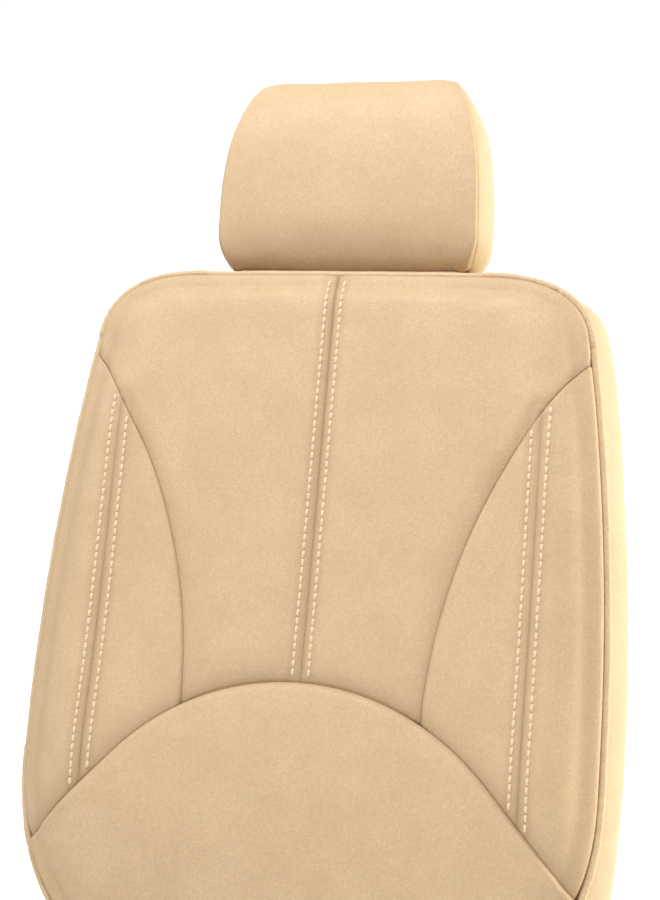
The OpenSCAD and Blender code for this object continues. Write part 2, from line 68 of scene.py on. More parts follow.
FRONT = -55.0
BACK_H = TOP - 2.0
HALF_W = 256.0
WIDE_Z = 210.0
HIP_Z = 170.0
TAPER = 222.0
SHOULDER_X = 88.0
SHOULDER_Z = 555.0
SHOULDER_POWER = 2.6
HIP_X = 100.0
HIP_POWER = 2.0
REAR_SHOULDER_X = 42.0
REAR_SHOULDER_Z = 582.0
REAR_HIP_X = 60.0
REAR_HIP_Z = 100.0
EDGE_ROLL = 20.0
ROLL_POWER = 3.5
TUCK = 15.0
BOLSTER_H = 9.0
LUMBAR = 11.0
CROWN = 5.0
SKIN = 1.5
ARCH_TOP = 246.0
ARCH_R = 225.0
ARCH_ANGLE = math.radians(47.5)
CURVE_X = 107.0
CURVE_R = 500.0
CURVE_Z = 210.0
CURVE_HEAD = 538.0
BOLSTER_X = 193.0
PIPING_R = 3.6
PIPING_OUT = 2.0
PIPING_POINTS = 620
FOAM_GAP = 0.4
FOAM_T = 5.0

ROW_OFFSET = 7.2
STITCH_PITCH = 7.3
STITCH_LENGTH = 5.8
THREAD_R = 1.5

# ---- Outline and face, as in the CAD design ----


def unit(k):
    return np.clip(k, 0.0, 1.0)


def smooth(k):
    k = unit(k)
    return k * k * (3 - 2 * k)


def swell(offset, width):
    return np.exp(-((offset / width) ** 2))


def side_x(z):
    return HALF_W - TAPER * (np.maximum(0, z - WIDE_Z) / 1000) ** 2


def end_share(z):
    above = (z - SHOULDER_Z) / (BACK_H - SHOULDER_Z)
    return unit(np.where(z > WIDE_Z, above, (HIP_Z - z) / HIP_Z))


def corner_power(z):
    return np.where(z > WIDE_Z, SHOULDER_POWER, HIP_POWER)


def corner_x(z):
    return SHOULDER_X + (HIP_X - SHOULDER_X) * unit((400 - z) / 250)


def edge_x(z):
    """Half width of the edge seam at a height."""
    k = corner_power(z)
    return side_x(z) - corner_x(z) * (1 - unit(1 - end_share(z) ** k) ** (1 / k))


def edge_share(x, z):
    across = unit((np.abs(x) - side_x(z) + corner_x(z)) / corner_x(z))
    k = corner_power(z)
    return unit((across**k + end_share(z) ** k) ** (1 / k))


def face_y(x, z):
    """Depth of the face without its seams."""
    fade = unit((z - 60) / 120) * unit((590 - z) / 120)
    low = np.where(z < HIP_Z, end_share(z), 0)
    return (
        FRONT
        - CROWN * (1 - (x / side_x(z)) ** 2)
        - LUMBAR * swell(z - 150, 95) * (1 - (x / side_x(z)) ** 4)
        - BOLSTER_H * swell(np.abs(x) - side_x(z) + 44, 26) * fade
        + EDGE_ROLL * (1 - unit(1 - edge_share(x, z) ** ROLL_POWER) ** (1 / ROLL_POWER))
        + TUCK * low**3
    )


def face_point(p, out=0.0):
    """Points of the face in space, moved outwards. p holds places across and up."""
    x, z = p[..., 0], p[..., 1]
    xs, zs = x * 0.985, z + (WIDE_Z - z) * 0.015
    slope_x = (face_y(xs + 1, zs) - face_y(xs - 1, zs)) / 2
    slope_z = (face_y(xs, zs + 1) - face_y(xs, zs - 1)) / 2
    normal = np.stack([slope_x, -np.ones_like(x), slope_z], -1)
    normal /= np.linalg.norm(normal, axis=-1, keepdims=True)
    base = np.stack([x, face_y(x, z), z], -1)
    return base + normal * np.asarray(out)[..., None]


# ---- Seam lines, as points across and up ----


def arch_at(x):
    x = np.abs(x)
    end_x = ARCH_R * math.sin(ARCH_ANGLE)
    end_z = ARCH_TOP - ARCH_R + ARCH_R * math.cos(ARCH_ANGLE)
    inside = ARCH_TOP - ARCH_R + np.sqrt(np.maximum(0, ARCH_R**2 - x**2))
    return np.where(x < end_x, inside, end_z - (x - end_x) * math.tan(ARCH_ANGLE))


def curve_at(z):
    return CURVE_X + CURVE_R - np.sqrt(CURVE_R**2 - (z - CURVE_Z) ** 2)


def line(x, z):
    """A line of points from two sequences, or from a sequence and a number."""
    return np.stack(np.broadcast_arrays(np.asarray(x, float), np.asarray(z, float)), -1)


def upper_corner(width, start, n=25):
    """A corner from the height where it leaves the side to the straight top."""
    a = np.linspace(0, math.pi / 2, n)
    z = start + (BACK_H - start) * np.sin(a) ** (2 / SHOULDER_POWER)
    return line(side_x(z) - width + width * np.cos(a) ** (2 / SHOULDER_POWER), z)


def lower_corner(width, to, n=25):
    """A corner from the straight bottom to the height where it meets the side."""
    a = np.linspace(0, math.pi / 2, n)
    z = to * (1 - np.cos(a) ** (2 / HIP_POWER))
    return line(side_x(z) - width + width * np.sin(a) ** (2 / HIP_POWER), z)


SIDE_POINTS = 60


def outline(lower, upper):
    """The right half of an outline, from the bottom over the shoulder to the middle."""
    side_z = np.linspace(lower[-1, 1], upper[0, 1], SIDE_POINTS)[1:]
    top_x = np.linspace(upper[-1, 0], 0, 30)[1:]
    return np.concatenate([lower, line(side_x(side_z), side_z), upper[1:], line(top_x, BACK_H)])


def flipped(points):
    return points * np.array([-1, 1])[: points.shape[-1]]


def whole(path):
    """A path on the right, continued over the middle to the left."""
    return np.concatenate([path, flipped(path)[::-1][1:]])


def lengths(points):
    step = np.linalg.norm(np.diff(points, axis=0), axis=1)
    return np.concatenate([[0], np.cumsum(step)])


def spaced(points, shares):
    """Points at shares of the way along a line. A single point is repeated."""
    along = lengths(points)
    if along[-1] < 1e-9:
        return np.repeat(points[:1], len(shares), axis=0)
    at = np.asarray(shares) * along[-1]
    return np.stack([np.interp(at, along, points[:, k]) for k in range(points.shape[1])], -1)


def distance(points, seam):
    """Distance from each point across and up to a seam line."""
    seam = spaced(seam, np.linspace(0, 1, max(2, int(lengths(seam)[-1] / 4))))
    a, d = seam[:-1], np.diff(seam, axis=0)
    flat = points.reshape(-1, 2)
    least = np.full(len(flat), 1e9)
    for start, step in zip(a, d):
        off = flat - start
        t = unit((off @ step) / max(step @ step, 1e-12))
        least = np.minimum(least, np.linalg.norm(off - t[:, None] * step, axis=1))
    return least.reshape(points.shape[:-1])


ARCH_FOOT_Z = 80.0
for _ in range(20):
    ARCH_FOOT_Z = float(arch_at(edge_x(ARCH_FOOT_Z)))
CURVE_FOOT_Z = float(arch_at(CURVE_X))
BOLSTER_HEAD = CURVE_Z + math.sqrt(CURVE_R**2 - (CURVE_X + CURVE_R - BOLSTER_X) ** 2)

SHOULDER = upper_corner(SHOULDER_X, SHOULDER_Z)
HIP = lower_corner(HIP_X, HIP_Z, 81)
REAR_SHOULDER = upper_corner(REAR_SHOULDER_X, REAR_SHOULDER_Z)
REAR_HIP = lower_corner(REAR_HIP_X, REAR_HIP_Z, 81)
EDGE = outline(HIP, SHOULDER)
REAR = outline(REAR_HIP, REAR_SHOULDER)
SHOULDER_JOINT = len(HIP) - 1 + SIDE_POINTS - 1 + len(SHOULDER) // 2
ARCH = line(np.linspace(-250, 250, 240), arch_at(np.linspace(-250, 250, 240)))
CURVE_ZS = np.linspace(CURVE_FOOT_Z, CURVE_HEAD, 120)
CURVE = line(curve_at(CURVE_ZS), CURVE_ZS)
CENTRE = line(0, np.linspace(ARCH_TOP, BACK_H, 60))
BOLSTER = line(BOLSTER_X, np.linspace(float(arch_at(BOLSTER_X)), BOLSTER_HEAD, 60))


def coons(left, right, bottom, top, s, t):
    """Grid of points over a patch, at shares s across and t up. left and right run up."""
    left, right, bottom, top = spaced(left, t), spaced(right, t), spaced(bottom, s), spaced(top, s)
    s, t = s[None, :, None], t[:, None, None]
    sides = (1 - s) * left[:, None] + s * right[:, None]
    ends = (1 - t) * bottom[None] + t * top[None]
    corners = (1 - t) * ((1 - s) * left[0] + s * right[0])
    corners = corners + t * ((1 - s) * left[-1] + s * right[-1])
    return sides + ends - corners


# ---- Meshes ----


def new_object(name, verts, faces, material):
    mesh = bpy.data.meshes.new(name)
    mesh.from_pydata([tuple(v) for v in np.asarray(verts) * MM], [], faces)
    bm = bmesh.new()
    bm.from_mesh(mesh)
    bmesh.ops.remove_doubles(bm, verts=bm.verts, dist=2e-6)
    bmesh.ops.dissolve_degenerate(bm, dist=1e-6, edges=bm.edges)
    bmesh.ops.recalc_face_normals(bm, faces=bm.faces)
    bm.to_mesh(mesh)
    bm.free()
    mesh.polygons.foreach_set("use_smooth", [True] * len(mesh.polygons))
    obj = bpy.data.objects.new(name, mesh)
    bpy.context.scene.collection.objects.link(obj)
    mesh.materials.append(material)
    return obj


def grid_faces(rows, cols, start=0, flip=False):
    quads = []
    for j in range(rows):
        for i in range(cols):
            a = start + j * (cols + 1) + i
            quad = (a, a + 1, a + cols + 2, a + cols + 1)
            quads.append(quad[::-1] if flip else quad)
    return quads


def slab(outer, inner):
    """Vertices and faces of a closed sheet between two grids."""
    rows, cols = outer.shape[0] - 1, outer.shape[1] - 1
    count = (rows + 1) * (cols + 1)
    verts = np.concatenate([outer.reshape(-1, 3), inner.reshape(-1, 3)])
    faces = grid_faces(rows, cols) + grid_faces(rows, cols, count, True)
    rim = [j * (cols + 1) for j in range(rows)]
    rim += [rows * (cols + 1) + i for i in range(cols)]
    rim += [j * (cols + 1) + cols for j in range(rows, 0, -1)]
    rim += list(range(cols, 0, -1))
    for k, p in enumerate(rim):
        q = rim[(k + 1) % len(rim)]
        faces.append((p, q, q + count, p + count))
    return verts, faces


def grid_normals(grid, outward):
    """Unit normals of a grid, turned to the side of outward."""
    du = np.gradient(grid, axis=1)
    dv = np.gradient(grid, axis=0)
    normal = np.cross(du, dv)
    size = np.linalg.norm(normal, axis=-1, keepdims=True)
    normal = np.where(size > 1e-6, normal / np.maximum(size, 1e-9), outward)
    turn = np.sign((normal * outward).sum(-1, keepdims=True))
    return normal * np.where(turn == 0, 1, turn)


def ring_faces(rings, sides):
    """Faces of a closed skin over rings of points, with both ends capped."""
    faces = []
    for k in range(rings - 1):
        for s in range(sides):
            a, b = k * sides + s, k * sides + (s + 1) % sides
            faces.append((a, b, b + sides, a + sides))
    faces.append(tuple(range(sides))[::-1])
    faces.append(tuple((rings - 1) * sides + s for s in range(sides)))
    return faces


def tube(path, radius, sides):
    """Vertices and faces of a round tube along points in space."""
    tangent = np.gradient(path, axis=0)
    tangent /= np.linalg.norm(tangent, axis=1, keepdims=True)
    side = np.cross(tangent[0], [0.31, 0.17, 0.93])
    radius = np.broadcast_to(np.asarray(radius, float), (len(path),))
    a = np.linspace(0, 2 * math.pi, sides, endpoint=False)[:, None]
    verts = []
    for k, centre in enumerate(path):
        side = side - tangent[k] * (side @ tangent[k])
        side /= np.linalg.norm(side)
        up = np.cross(tangent[k], side)
        verts.append(centre + radius[k] * (np.cos(a) * side + np.sin(a) * up))
    return np.concatenate(verts), ring_faces(len(path), sides)


def joined(parts):
    """One set of vertices and faces from many."""
    verts, faces, start = [], [], 0
    for v, f in parts:
        verts.append(v)
        faces += [tuple(i + start for i in face) for face in f]
        start += len(v)
    return np.concatenate(verts), faces


def box_mesh(low, high, bevel=0.0):
    """A block with bevelled long edges, as vertices and faces."""
    low, high = np.array(low, float), np.array(high, float)
    bm = bmesh.new()
    bmesh.ops.create_cube(bm, size=1)
    for v in bm.verts:
        v.co = [(low[k] + high[k]) / 2 + v.co[k] * (high[k] - low[k]) for k in range(3)]
    if bevel:
        bmesh.ops.bevel(bm, geom=bm.edges, offset=bevel, segments=2, profile=0.6, affect="EDGES")
    verts = np.array([v.co[:] for v in bm.verts])
    faces = [tuple(v.index for v in f.verts) for f in bm.faces]
    bm.free()
    return verts, faces


# ---- Cloth simulation of the sewn panels ----

FRAMES = 14
SHEETS = []
CLOTH = {
    "vertex_group_mass": "seam", "quality": 6, "mass": 0.25, "tension_stiffness": 18,
    "compression_stiffness": 18, "shear_stiffness": 8, "bending_stiffness": 1.2,
    "shrink_min": -0.001, "use_pressure": True,
}


class Sheet:
    """A coarse panel, held along its seams and blown out by the padding behind it."""

    def __init__(self, grid, outward, pressure, cap):
        self.grid, self.outward, self.pressure, self.cap = grid, outward, pressure, cap
        self.move = np.zeros_like(grid)
        self.free = np.ones(grid.shape[:2])
        self.free[[0, -1]] = self.free[:, [0, -1]] = 0
        SHEETS.append(self)

    def start(self):
        rows, cols = self.grid.shape[0] - 1, self.grid.shape[1] - 1
        mesh = bpy.data.meshes.new("sim")
        mesh.from_pydata([tuple(p) for p in self.grid.reshape(-1, 3) * MM], [], grid_faces(rows, cols))
        du, dv = np.gradient(self.grid, axis=1), np.gradient(self.grid, axis=0)
        facing = (np.cross(du, dv) * self.outward).sum()
        self.obj = bpy.data.objects.new("sim", mesh)
        bpy.context.scene.collection.objects.link(self.obj)
        group = self.obj.vertex_groups.new(name="seam")
        for k, free in enumerate(self.free.ravel()):
            group.add([k], 1.0 - float(free), "REPLACE")
        cloth = self.obj.modifiers.new("cloth", "CLOTH").settings
        for key, value in CLOTH.items():
            setattr(cloth, key, value)
        cloth.uniform_pressure_force = self.pressure * (1 if facing > 0 else -1)
        cloth.effector_weights.gravity = 0

    def read(self):
        seen = self.obj.evaluated_get(bpy.context.evaluated_depsgraph_get()).data
        co = np.zeros(len(seen.vertices) * 3)
        seen.vertices.foreach_get("co", co)
        move = co.reshape(self.grid.shape) / MM - self.grid
        size = np.linalg.norm(move, axis=-1, keepdims=True)
        self.move = move * np.minimum(1, self.cap / np.maximum(size, 1e-6))
        bpy.data.objects.remove(self.obj)

    def finer(self, s, t):
        """The panel's movement at shares s across and t up, smoothed between its points."""
        rows, cols = self.move.shape[:2]

        def weights(shares, count):
            at = np.clip(shares, 0, 1) * (count - 1)
            base = np.arange(count)
            near = np.maximum(0, 1.5 - np.abs(at[:, None] - base[None]))
            tight = np.maximum(0, 1 - np.abs(at[:, None] - base[None]))
            ends = np.minimum(at, count - 1 - at)[:, None]
            blend = unit(ends)
            near /= near.sum(1, keepdims=True)
            return blend * near + (1 - blend) * tight

        return np.einsum("rj,jik,ci->rck", weights(t, rows), self.move, weights(s, cols))


def run_cloth():
    scene = bpy.context.scene
    for sheet in SHEETS:
        sheet.start()
    for at in range(1, FRAMES + 1):
        scene.frame_set(at)
    for sheet in SHEETS:
        sheet.read()
    scene.frame_set(1)


# ---- Materials ----


class Nodes:
    """Short forms for building a material's node tree."""

    def __init__(self, name):
        self.material = bpy.data.materials.new(name)
        self.material.use_nodes = True
        self.tree = self.material.node_tree
        self.shader = self.tree.nodes["Principled BSDF"]
        self.place = self.tree.nodes.new("ShaderNodeTexCoord").outputs["Object"]

    def add(self, kind, inputs=(), **settings):
        node = self.tree.nodes.new("ShaderNode" + kind)
        for key, value in settings.items():
            setattr(node, key, value)
        for key, value in dict(inputs).items():
            self.put(node.inputs[key], value)
        return node

    def put(self, socket, value):
        if isinstance(value, bpy.types.NodeSocket):
            self.tree.links.new(value, socket)
        else:
            colour = isinstance(value, tuple) and socket.type == "RGBA"
            socket.default_value = (*value, 1) if colour else value

    def noise(self, scale, detail=3.0, rough=0.55, place=None):
        return self.add(
            "TexNoise",
            {"Vector": place or self.place, "Scale": scale, "Detail": detail, "Roughness": rough},
        ).outputs["Fac"]

    def cells(self, scale, feature="F1", place=None, random=1.0):
        inputs = {"Vector": place or self.place, "Scale": scale, "Randomness": random}
        return self.add("TexVoronoi", inputs, feature=feature).outputs["Distance"]

    def stretched(self, scale):
        return self.add("Mapping", {"Vector": self.place, "Scale": scale}).outputs["Vector"]

    def wave(self, scale, direction):
        inputs = {"Vector": self.place, "Scale": scale}
        return self.add("TexWave", inputs, wave_type="BANDS", bands_direction=direction).outputs["Fac"]

    def math(self, operation, a, b=0.0, clamp=False):
        node = self.add("Math", operation=operation, use_clamp=clamp)
        self.put(node.inputs[0], a)
        self.put(node.inputs[1], b)
        return node.outputs[0]

    def ramp(self, value, low, high, to_low=0.0, to_high=1.0):
        return self.add(
            "MapRange",
            {"Value": value, "From Min": low, "From Max": high, "To Min": to_low, "To Max": to_high},
            interpolation_type="SMOOTHSTEP",
        ).outputs["Result"]

    def mix(self, share, a, b):
        node = self.add("Mix", data_type="RGBA")
        self.put(node.inputs["Factor"], share)
        self.put(node.inputs["A"], a)
        self.put(node.inputs["B"], b)
        return node.outputs["Result"]

    def bump(self, height, depth, strength=1.0, under=None):
        inputs = {"Height": height, "Distance": depth, "Strength": strength}
        if under is not None:
            inputs["Normal"] = under
        return self.add("Bump", inputs).outputs["Normal"]

    def finish(self, colour, rough, normal, **uniform):
        self.put(self.shader.inputs["Base Color"], colour)
        self.put(self.shader.inputs["Roughness"], rough)
        if normal is not None:
            self.put(self.shader.inputs["Normal"], normal)
        for key, value in uniform.items():
            self.shader.inputs[key.replace("_", " ")].default_value = value
        return self.material


def leatherette(name, light, dark, shade):
    """Embossed leatherette: pebbles with fine creases, a soft mottle, and painted shade along the seams from
    the mesh's seam attribute.
    """
    n = Nodes(name)
    warp = n.add("VectorMath", operation="MULTIPLY_ADD")
    swirl = n.add("TexNoise", {"Vector": n.place, "Scale": 240.0, "Detail": 2.0})
    n.put(warp.inputs[0], swirl.outputs["Color"])
    warp.inputs[1].default_value = (0.0016, 0.0016, 0.0016)
    n.put(warp.inputs[2], n.place)
    place = warp.outputs[0]
    pebble = n.ramp(n.cells(560.0, "DISTANCE_TO_EDGE", place), 0.0, 0.32)
    small = n.cells(1500.0, "F1", place)
    patch = n.noise(26.0, 4.0)
    mottle = n.noise(330.0, 3.0, 0.65)
    seam = n.add("Attribute", attribute_name="seam").outputs["Fac"]
    colour = n.mix(n.ramp(patch, 0.3, 0.7), dark, light)
    colour = n.mix(n.ramp(mottle, 0.36, 0.66, 0.22, 0.0), colour, shade)
    colour = n.mix(n.math("MULTIPLY", n.math("SUBTRACT", 1.0, pebble), 0.34), colour, shade)
    # Painted shade: the seam attribute darkens the colour in and beside the seams, where shade gathers.
    colour = n.mix(n.math("MULTIPLY", seam, 0.8, True), colour, shade)
    rough = n.ramp(pebble, 0.0, 1.0, 0.66, 0.50)
    height = n.math("ADD", n.math("MULTIPLY", pebble, 0.8), n.math("MULTIPLY", small, 0.25))
    normal = n.bump(height, 0.00022, 0.55)
    normal = n.bump(n.noise(60.0, 3.0), 0.0009, 0.35, normal)
    return n.finish(colour, rough, normal, Specular_IOR_Level=0.42, Sheen_Weight=0.06, Sheen_Roughness=0.5)


def thread(name, colour):
    """Thick twisted thread."""
    n = Nodes(name)
    twist = n.wave(420.0, "DIAGONAL")
    fuzz = n.noise(1600.0, 2.0)
    dark = tuple(c * 0.78 for c in colour)
    shade = n.mix(n.ramp(twist, 0.1, 0.75), dark, colour)
    return n.finish(shade, 0.62, n.bump(n.math("ADD", twist, fuzz), 0.00025, 0.5), Sheen_Weight=0.25)


def knit(name, light, dark):
    """Knitted backing: columns of small loops with a soft mottle."""
    n = Nodes(name)
    column = n.wave(100.0, "X")
    row = n.wave(130.0, "Z")
    loop = n.math("MULTIPLY", column, n.math("ADD", n.math("MULTIPLY", row, 0.6), 0.4))
    fuzz = n.noise(900.0, 3.0)
    colour = n.mix(n.ramp(loop, 0.05, 0.6), dark, light)
    colour = n.mix(n.ramp(n.noise(35.0, 4.0), 0.35, 0.7, 0.25, 0.0), colour, dark)
    height = n.math("ADD", loop, n.math("MULTIPLY", fuzz, 0.5))
    return n.finish(colour, 0.88, n.bump(height, 0.0004, 0.6), Sheen_Weight=0.35, Specular_IOR_Level=0.2)


def webbing(name, light, dark):
    """Woven tape: ribs across, with a herringbone of yarns."""
    n = Nodes(name)
    rib = n.wave(200.0, "Z")
    yarn = n.wave(330.0, "DIAGONAL")
    weave = n.math("ADD", n.math("MULTIPLY", rib, 0.6), n.math("MULTIPLY", yarn, 0.4))
    colour = n.mix(n.ramp(weave, 0.2, 0.8), dark, light)
    height = n.math("ADD", weave, n.math("MULTIPLY", n.noise(1400.0, 2.0), 0.4))
    return n.finish(colour, 0.8, n.bump(height, 0.0004, 0.7), Sheen_Weight=0.2)


def hook_and_loop(name, light, dark):
    """Pile of small hooks or loops."""
    n = Nodes(name)
    spot = n.cells(900.0, "F1", random=0.6)
    colour = n.mix(n.ramp(spot, 0.1, 0.6), light, dark)
    return n.finish(colour, 0.9, n.bump(spot, 0.0006, -0.9), Sheen_Weight=0.5)


def foam(name, light, dark):
    """Open-cell foam with a scatter of pores."""
    n = Nodes(name)
    pore = n.cells(800.0)
    colour = n.mix(n.ramp(pore, 0.05, 0.5), dark, light)
    colour = n.mix(n.ramp(n.noise(40.0), 0.4, 0.7, 0.2, 0.0), colour, dark)
    return n.finish(colour, 0.95, n.bump(pore, 0.0005, 0.7), Specular_IOR_Level=0.15)


def plastic(name, colour, rough):
    """Moulded plastic with a fine spark texture and slight uneven gloss."""
    n = Nodes(name)
    spark = n.noise(1800.0, 2.0)
    worn = n.noise(90.0, 4.0)
    shade = n.mix(n.ramp(worn, 0.4, 0.7, 0.25, 0.0), colour, tuple(c * 0.8 for c in colour))
    return n.finish(shade, n.ramp(worn, 0.3, 0.7, rough - 0.08, rough + 0.08), n.bump(spark, 0.0001, 0.4))


def plated_steel(name, colour):
    """Nickel-plated steel, drawn or stamped, with fine scratches."""
    n = Nodes(name)
    drawn = n.noise(500.0, 3.0, 0.6, n.stretched((1.0, 1.0, 0.08)))
    stain = n.noise(120.0, 4.0)
    shade = n.mix(n.ramp(stain, 0.45, 0.75, 0.3, 0.0), colour, tuple(c * 0.72 for c in colour))
    rough = n.math("ADD", n.ramp(drawn, 0.2, 0.8, 0.2, 0.34), n.ramp(stain, 0.4, 0.8, 0.08, 0.0))
    return n.finish(shade, rough, n.bump(drawn, 0.0001, 0.25), Metallic=1.0)


LEATHER = leatherette("leatherette", (0.655, 0.475, 0.285), (0.61, 0.435, 0.255), (0.40, 0.27, 0.15))
# The same leatherette made lighter: painted highlight for the light caught by the round piping and rolled
# hem.
WELT_WITH_PAINTED_HIGHLIGHT = leatherette("welt", (0.70, 0.515, 0.315), (0.65, 0.47, 0.285), (0.44, 0.30, 0.17))
THREAD = thread("thread", (0.83, 0.635, 0.41))
KNIT = knit("knit", (0.52, 0.385, 0.24), (0.43, 0.31, 0.19))
TAPE = webbing("webbing", (0.42, 0.31, 0.20), (0.24, 0.17, 0.105))
BINDING = webbing("binding", (0.60, 0.45, 0.28), (0.42, 0.30, 0.18))
PILE = hook_and_loop("pile", (0.62, 0.46, 0.29), (0.42, 0.30, 0.18))
FOAM = foam("foam", (0.78, 0.76, 0.70), (0.56, 0.54, 0.48))
TEETH = plastic("zipper_teeth", (0.50, 0.37, 0.23), 0.42)
EYELET = plastic("eyelet", (0.66, 0.49, 0.30), 0.45)
STEEL = plated_steel("plated_steel", (0.48, 0.475, 0.46))


def set_painted_shade(obj, seam_share):
    """Stores on each vertex a share of painted shade, which the material mixes into the colour to darken the
    seams.
    """
    layer = obj.data.attributes.new("seam", "FLOAT", "POINT")
    values = seam_share(np.array([v.co[:] for v in obj.data.vertices]) / MM)
    layer.data.foreach_set("value", values.astype(np.float32))


# ---- Relief of the sewn face ----


def rolled(d, r):
    """Depth to which a turned-in edge falls at a distance from its seam."""
    return r - np.sqrt(np.maximum(0, r * r - np.maximum(0, r - d) ** 2))


def ripple(along, across, seed):
    """Uneven puckers along a seam, fading away from it."""
    waves = sum(
        math.cos(seed * k * 1.7) * np.sin(along / length + seed * k)
        for k, length in ((1, 2.9), (2, 4.3), (3, 7.1))
    )
    return 0.16 * waves * np.exp(-across / 13)


def stitched_dip(d, along, seed):
    """Channel of a double-stitched seam, with a dent under each row of thread."""
    row = swell(d - ROW_OFFSET, 2.2)
    return -2.3 * swell(d, 5.0) - 0.7 * row + ripple(along, np.abs(d - 7), seed)


def edge_valley(d):
    """The hollow along the welt, and the turn under it."""
    return -2.8 * swell(d - 13, 8) - rolled(d, 2.6)


def arch_dip(arch):
    """Fall of the upper panels towards the lower panel's lap."""
    return 4.4 * np.exp(-arch / 14)


def centre_relief(q):
    edge, curve, arch = distance(q, whole(EDGE)), distance(q, CURVE), distance(q, ARCH)
    out = stitched_dip(q[..., 0], q[..., 1], 1.0) * smooth((arch - 1) / 10)
    out += 1.8 * (1 - np.exp(-curve / 16)) - 1.9 * np.exp(-curve / 5)
    return out - arch_dip(arch) + edge_valley(edge)


def bolster_relief(q):
    edge, curve, arch = distance(q, EDGE), distance(q, CURVE), distance(q, ARCH)
    out = stitched_dip(np.abs(q[..., 0] - BOLSTER_X), q[..., 1], 2.2)
    out = out * smooth((curve - 1) / 10) * smooth((arch - 1) / 10)
    out += 1.4 * (1 - np.exp(-curve / 12)) - rolled(curve, 1.9)
    return out - arch_dip(arch) + edge_valley(edge)


def lower_relief(q):
    """The lower panel laps over the others, so its edge along the arch stands proud."""
    q = np.stack([np.abs(q[..., 0]), q[..., 1]], -1)
    edge, arch = distance(q, EDGE), distance(q, ARCH)
    return 2.6 * np.exp(-arch / 30) - rolled(arch, 5.4) + edge_valley(edge)


def face_shade(v):
    """Share of seam shade at points in space: it gathers beside and down in the seams."""
    p = np.stack([np.abs(v[:, 0]), v[:, 2]], -1)
    edge, curve, arch = distance(p, EDGE), distance(p, CURVE), distance(p, ARCH)
    above = p[:, 1] > arch_at(p[:, 0])
    inside = p[:, 0] < curve_at(np.clip(p[:, 1], CURVE_Z, CURVE_HEAD))
    shade = 0.55 * np.exp(-edge / 3) + 0.22 * swell(edge - 14, 9)
    shade += np.where(inside, 0.5 * np.exp(-curve / 4.5), 0.25 * np.exp(-curve / 2)) * above
    shade += np.where(above, 0.75 * np.exp(-arch / 11), 0.35 * np.exp(-arch / 1.5))
    stitched = np.minimum(p[:, 0], distance(p, BOLSTER))
    return shade + above * (0.8 * swell(stitched, 4.2) + 0.35 * swell(stitched - 10, 2.6))


# ---- The backrest's face ----


def gathered(n, start=False, end=False):
    """n + 1 shares from 0 to 1, closer together towards an end where the surface turns sharply."""
    u = np.linspace(0, 1, n + 1)
    curve = u
    if start and end:
        curve = 0.5 - 0.5 * np.cos(math.pi * u)
    elif end:
        curve = np.sin(math.pi / 2 * u)
    elif start:
        curve = 1 - np.cos(math.pi / 2 * u)
    return 0.25 * u + 0.75 * curve


def edge_line(z0, z1, n):
    zs = np.linspace(z0, z1, n)
    return line(edge_x(zs), zs)


TIP = edge_line(CURVE_HEAD, CURVE_HEAD, 1)


def centre_patch(s, t):
    straight = line(np.linspace(0, SHOULDER[-1, 0], 30), BACK_H)
    top = np.concatenate([straight, SHOULDER[::-1][1:], edge_line(SHOULDER_Z, CURVE_HEAD, 8)[1:]])
    xs = np.linspace(0, CURVE_X, 30)
    return coons(CENTRE, np.concatenate([CURVE[:-8], TIP]), line(xs, arch_at(xs)), top, s, t)


def inner_patch(s, t):
    head = line([BOLSTER_X], BOLSTER_HEAD)
    xs = np.linspace(CURVE_X, BOLSTER_X, 30)
    curve = np.concatenate([CURVE[CURVE[:, 1] < BOLSTER_HEAD], head])
    return coons(curve, BOLSTER, line(xs, arch_at(xs)), head, s, t)


def outer_patch(s, t):
    xs = np.linspace(BOLSTER_X, float(edge_x(ARCH_FOOT_Z)), 20)
    upper = CURVE[CURVE[:, 1] > BOLSTER_HEAD + 1][:-8]
    left = np.concatenate([BOLSTER, upper, TIP])
    return coons(left, edge_line(ARCH_FOOT_Z, CURVE_HEAD, 80), line(xs, arch_at(xs)), TIP, s, t)


def lower_patch(s, t):
    right = np.concatenate([HIP[HIP[:, 1] < ARCH_FOOT_Z - 2], edge_line(ARCH_FOOT_Z, ARCH_FOOT_Z, 1)])
    xs = np.linspace(-right[-1, 0], right[-1, 0], 160)
    bottom = line(np.linspace(-right[0, 0], right[0, 0], 20), 0)
    return coons(flipped(right), right, bottom, line(xs, arch_at(xs)), s, t)


